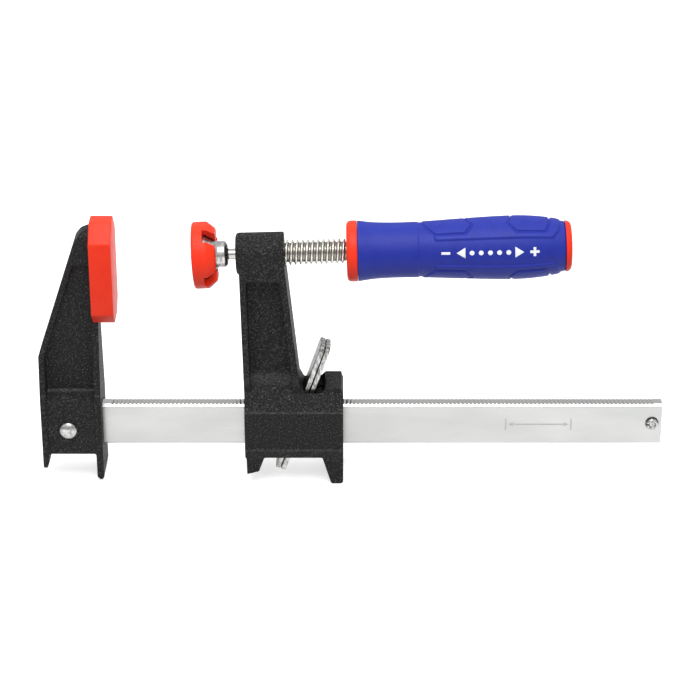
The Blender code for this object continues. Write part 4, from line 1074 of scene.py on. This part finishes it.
def grip_radius(distance, angle):
    """The grip's radius: its profile, less the side fields and the grooves round the panels."""
    share = (distance - GRIP_START) / (GRIP_END - GRIP_START)
    base = grip_profile(share)
    turn = math.degrees(angle - GRIP_SPIN)
    turn = abs((turn + 180) % 360 - 180)
    turn = min(turn, 180 - turn)
    along = distance / MM
    spot = (along, turn)
    drop = 0.0
    if BAND_START[0] < along:
        band = inside_by(spot, BAND)
        drop = FIELD_DEPTH * (1 - ease(band, -0.55, 0.15)) * ease(along, *BAND_START)
        if band > -1.0:
            for panel in (PANEL_NEAR, PANEL_FAR):
                edge = inside_by(spot, panel)
                groove = ease(edge, -1.35, -0.75) * (1 - ease(edge, -0.45, 0.2))
                drop = max(drop, GROOVE_DEPTH * groove)
    seam_start, seam_middle, seam_end = SEAM
    seam = ease(along, seam_start, seam_middle) - ease(along, seam_middle, seam_end)
    return base - drop - SEAM_DEPTH * seam


def grip_spot(row, angle):
    """The sleeve from its bore's start, over its outside with soft ends, and back to the start."""
    if row == 0 or row > GRIP_ROWS + 2:
        return GRIP_START, BORE_RADIUS
    if row == GRIP_ROWS + 2:
        return GRIP_END, BORE_RADIUS
    share = (row - 1) / GRIP_ROWS
    distance = GRIP_START + (GRIP_END - GRIP_START) * share
    radius = grip_radius(distance, angle)
    from_end = min(distance - GRIP_START, GRIP_END - distance)
    return distance, radius - END_ROUND * (1 - ease(from_end, 0.0, END_LENGTH))


blue_rubber, tree, shader = new_finish("blue_rubber", BLUE, 0.5, 0.0)
shader.inputs["Specular IOR Level"].default_value = BLUE_GLOSS
cloud = lumps(tree, BLUE_CLOUD, 3.0)
rubber_grain = lumps(tree, RUBBER_GRAIN, 3.0)
tree.links.new(shades(tree, cloud, [(0.3, BLUE_DEEP), (0.65, BLUE)]), shader.inputs["Base Color"])
tree.links.new(spread(tree, rubber_grain, 0.62, 0.46), shader.inputs["Roughness"])
tree.links.new(relief(tree, rubber_grain, RUBBER_RISE, 0.5), shader.inputs["Normal"])
rubber_grip = field(
    "rubber_grip", GRIP_ROWS + 3, GRIP_SIDES, grip_spot, screw_axis, ball, False
)
weld = bmesh.new()
weld.from_mesh(rubber_grip.data)
bmesh.ops.remove_doubles(weld, verts=weld.verts, dist=GRIP_WELD)
bmesh.ops.recalc_face_normals(weld, faces=weld.faces)
weld.to_mesh(rubber_grip.data)
weld.free()
show(rubber_grip, "spindle", blue_rubber)
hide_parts("handle_grip")

# ---- Turning mark ----
# A white mark is printed in the grip's side field.
# It is a row of dots with an arrowhead at each end, between a minus and a plus.
# It shows that the handle tightens one way and loosens the other.

PRINT_MIDDLE = 103.4 * MM
PRINT_HEIGHT = 4.4 * MM
PRINT_STROKE = 1.05 * MM
PRINT_LIFT = 0.05 * MM
PRINT_STEP = 0.45 * MM
PRINT_CUTS = 120
INK_THICKNESS = 0.04 * MM
SIGN_PLACE = 17.0 * MM
MINUS_LENGTH = 3.4 * MM
PLUS_LENGTH = 3.6 * MM
PLUS_ARM = 1.28 * MM
PLUS_ARM_MIDDLE = 1.18 * MM
TIP_PLACE = 12.9 * MM
TIP_LENGTH = 3.4 * MM
DOT_GAP = 3.5 * MM
DOT_RADIUS = 0.95 * MM
DOT_CORNERS = 20
INK_GRAIN = 0.4 * MM
INK_WHITES = [(0.2, (0.88, 0.92, 0.95, 1.0)), (0.5, (0.97, 0.985, 1.0, 1.0))]


def printed(name, shapes):
    """Flat shapes laid on the grip: (along, round) outlines in metres from the mark's middle."""
    side = screw_axis.cross(Vector((0, 1, 0))).normalized()
    other = screw_axis.cross(side)
    shape = bmesh.new()
    for outline in shapes:
        flat = bmesh.new()
        flat.faces.new([flat.verts.new((u, v, 0)) for u, v in outline])
        bmesh.ops.triangulate(flat, faces=flat.faces)
        low = min(u for u, v in outline)
        high = max(u for u, v in outline)
        for axis in ((1, 0, 0), (0, 1, 0)):
            for step in range(-PRINT_CUTS, PRINT_CUTS + 1):
                place = step * PRINT_STEP
                if axis[0] and not low < place < high:
                    continue
                if axis[1] and abs(place) > PRINT_HEIGHT:
                    continue
                bmesh.ops.bisect_plane(
                    flat, geom=flat.verts[:] + flat.edges[:] + flat.faces[:],
                    plane_co=Vector(axis) * place, plane_no=axis, dist=ON_AXIS,
                )
        for vertex in flat.verts:
            distance = PRINT_MIDDLE + vertex.co.x
            share = (distance - GRIP_START) / (GRIP_END - GRIP_START)
            angle = GRIP_SPIN + vertex.co.y / grip_profile(share)
            radius = grip_radius(distance, angle) + PRINT_LIFT
            spoke = side * math.cos(angle) + other * math.sin(angle)
            vertex.co = ball + screw_axis * distance + spoke * radius
        mesh = mesh_of("flat", flat)
        shape.from_mesh(mesh)
        bpy.data.meshes.remove(mesh)
    bmesh.ops.recalc_face_normals(shape, faces=shape.faces)
    for face in shape.faces:
        face.normal_update()
        middle = face.calc_center_median()
        outward = middle - ball - screw_axis * (middle - ball).dot(screw_axis)
        if face.normal.dot(outward) < 0:
            face.normal_flip()
    piece = new_piece(name, mesh_of(name, shape))
    piece.data.shade_smooth()
    thick = piece.modifiers.new("Ink", "SOLIDIFY")
    thick.thickness = INK_THICKNESS
    thick.offset = -1.0
    return settled(piece)


def dot(u):
    """A round dot on the mark's middle line."""
    angles = [2 * math.pi * i / DOT_CORNERS for i in range(DOT_CORNERS)]
    return [(u + DOT_RADIUS * math.cos(a), DOT_RADIUS * math.sin(a)) for a in angles]


white_ink, tree, shader = new_finish("white_ink", (0.86, 0.90, 0.93, 1.0), 0.45, 0.0)
ink_grain = lumps(tree, INK_GRAIN, 2.0)
tree.links.new(shades(tree, ink_grain, INK_WHITES), shader.inputs["Base Color"])
tree.links.new(spread(tree, ink_grain, 0.5, 0.4), shader.inputs["Roughness"])
mark_shapes = [
    bar(-SIGN_PLACE, 0, MINUS_LENGTH, PRINT_STROKE),
    bar(SIGN_PLACE, 0, PLUS_LENGTH, PRINT_STROKE),
    bar(SIGN_PLACE, PLUS_ARM_MIDDLE, PRINT_STROKE, PLUS_ARM),
    bar(SIGN_PLACE, -PLUS_ARM_MIDDLE, PRINT_STROKE, PLUS_ARM),
]
for way in (-1, 1):
    mark_shapes.append(arrow_head(way * TIP_PLACE, 0, way, TIP_LENGTH, PRINT_HEIGHT / 2))
for number in range(-2, 3):
    mark_shapes.append(dot(number * DOT_GAP))
turning_mark = printed("turning_mark", mark_shapes)
show(turning_mark, "spindle", white_ink)

# ---- Studio ----
# A pale seamless floor, a soft sky that is darker along the horizon, and one soft box above.
# The floor shows in polished steel, but its bounce is left to the sky: undersides stay deep.

floor_z = cad_box[0].z
FLOOR_HALF = 6.0
FLOOR_GLOW = 0.6
SKY = [(0.40, 0.42), (0.46, 0.15), (0.54, 0.15), (0.66, 0.88), (1.0, 1.15)]
CLAMP_MIDDLE = Vector((91.5 * MM, 0.0, -34.8 * MM))
BOX_PLACE = (0.05, -0.42, 0.87)
BOX_SIZE = 0.6
BOX_POWER = 5.8
CAMERA_LENS = 124.0
CAMERA_RISE = math.radians(25.0)
CAMERA_AWAY = 0.95

floor_mesh = bpy.data.meshes.new("studio_floor")
floor_corners = bar(0, 0, 2 * FLOOR_HALF, 2 * FLOOR_HALF)
floor_mesh.from_pydata([(x, y, floor_z) for x, y in floor_corners], [], [(0, 1, 2, 3)])
floor = new_piece("studio_floor", floor_mesh)
paper, tree, shader = new_finish("pale_paper", (0.78, 0.78, 0.78, 1.0), 0.9, 0.0)
shader.inputs["Emission Color"].default_value = (1.0, 1.0, 1.0, 1.0)
shader.inputs["Emission Strength"].default_value = FLOOR_GLOW
floor.data.materials.append(paper)
floor.visible_diffuse = False

world = bpy.data.worlds.new("studio_air")
bpy.context.scene.world = world
world.use_nodes = True
sky = world.node_tree.nodes["Background"]
way_up = world.node_tree.nodes.new("ShaderNodeTexCoord")
parts = world.node_tree.nodes.new("ShaderNodeSeparateXYZ")
world.node_tree.links.new(way_up.outputs["Generated"], parts.inputs["Vector"])
height = spread(world.node_tree, parts.outputs["Z"], 0.0, 1.0, -1.0, 1.0)
tones = [(where, (tone, tone, tone, 1.0)) for where, tone in SKY]
world.node_tree.links.new(shades(world.node_tree, height, tones), sky.inputs["Color"])

lamp = bpy.data.lights.new("top_box", "AREA")
lamp.size = BOX_SIZE
lamp.energy = BOX_POWER
top_box = new_piece("top_box", lamp)
top_box.location = BOX_PLACE
towards = CLAMP_MIDDLE - Vector(BOX_PLACE)
top_box.rotation_euler = towards.to_track_quat("-Z", "Y").to_euler()

camera = bpy.data.cameras.new("studio_camera")
camera.lens = CAMERA_LENS
camera.sensor_width = 36.0
camera.clip_start = 0.01
camera_object = new_piece("studio_camera", camera)
back_and_up = Vector((0, -math.cos(CAMERA_RISE), math.sin(CAMERA_RISE)))
camera_object.location = CLAMP_MIDDLE + CAMERA_AWAY * back_and_up
camera_object.rotation_euler = (math.pi / 2 - CAMERA_RISE, 0.0, 0.0)
bpy.context.scene.camera = camera_object
bpy.context.scene.view_settings.view_transform = "Standard"
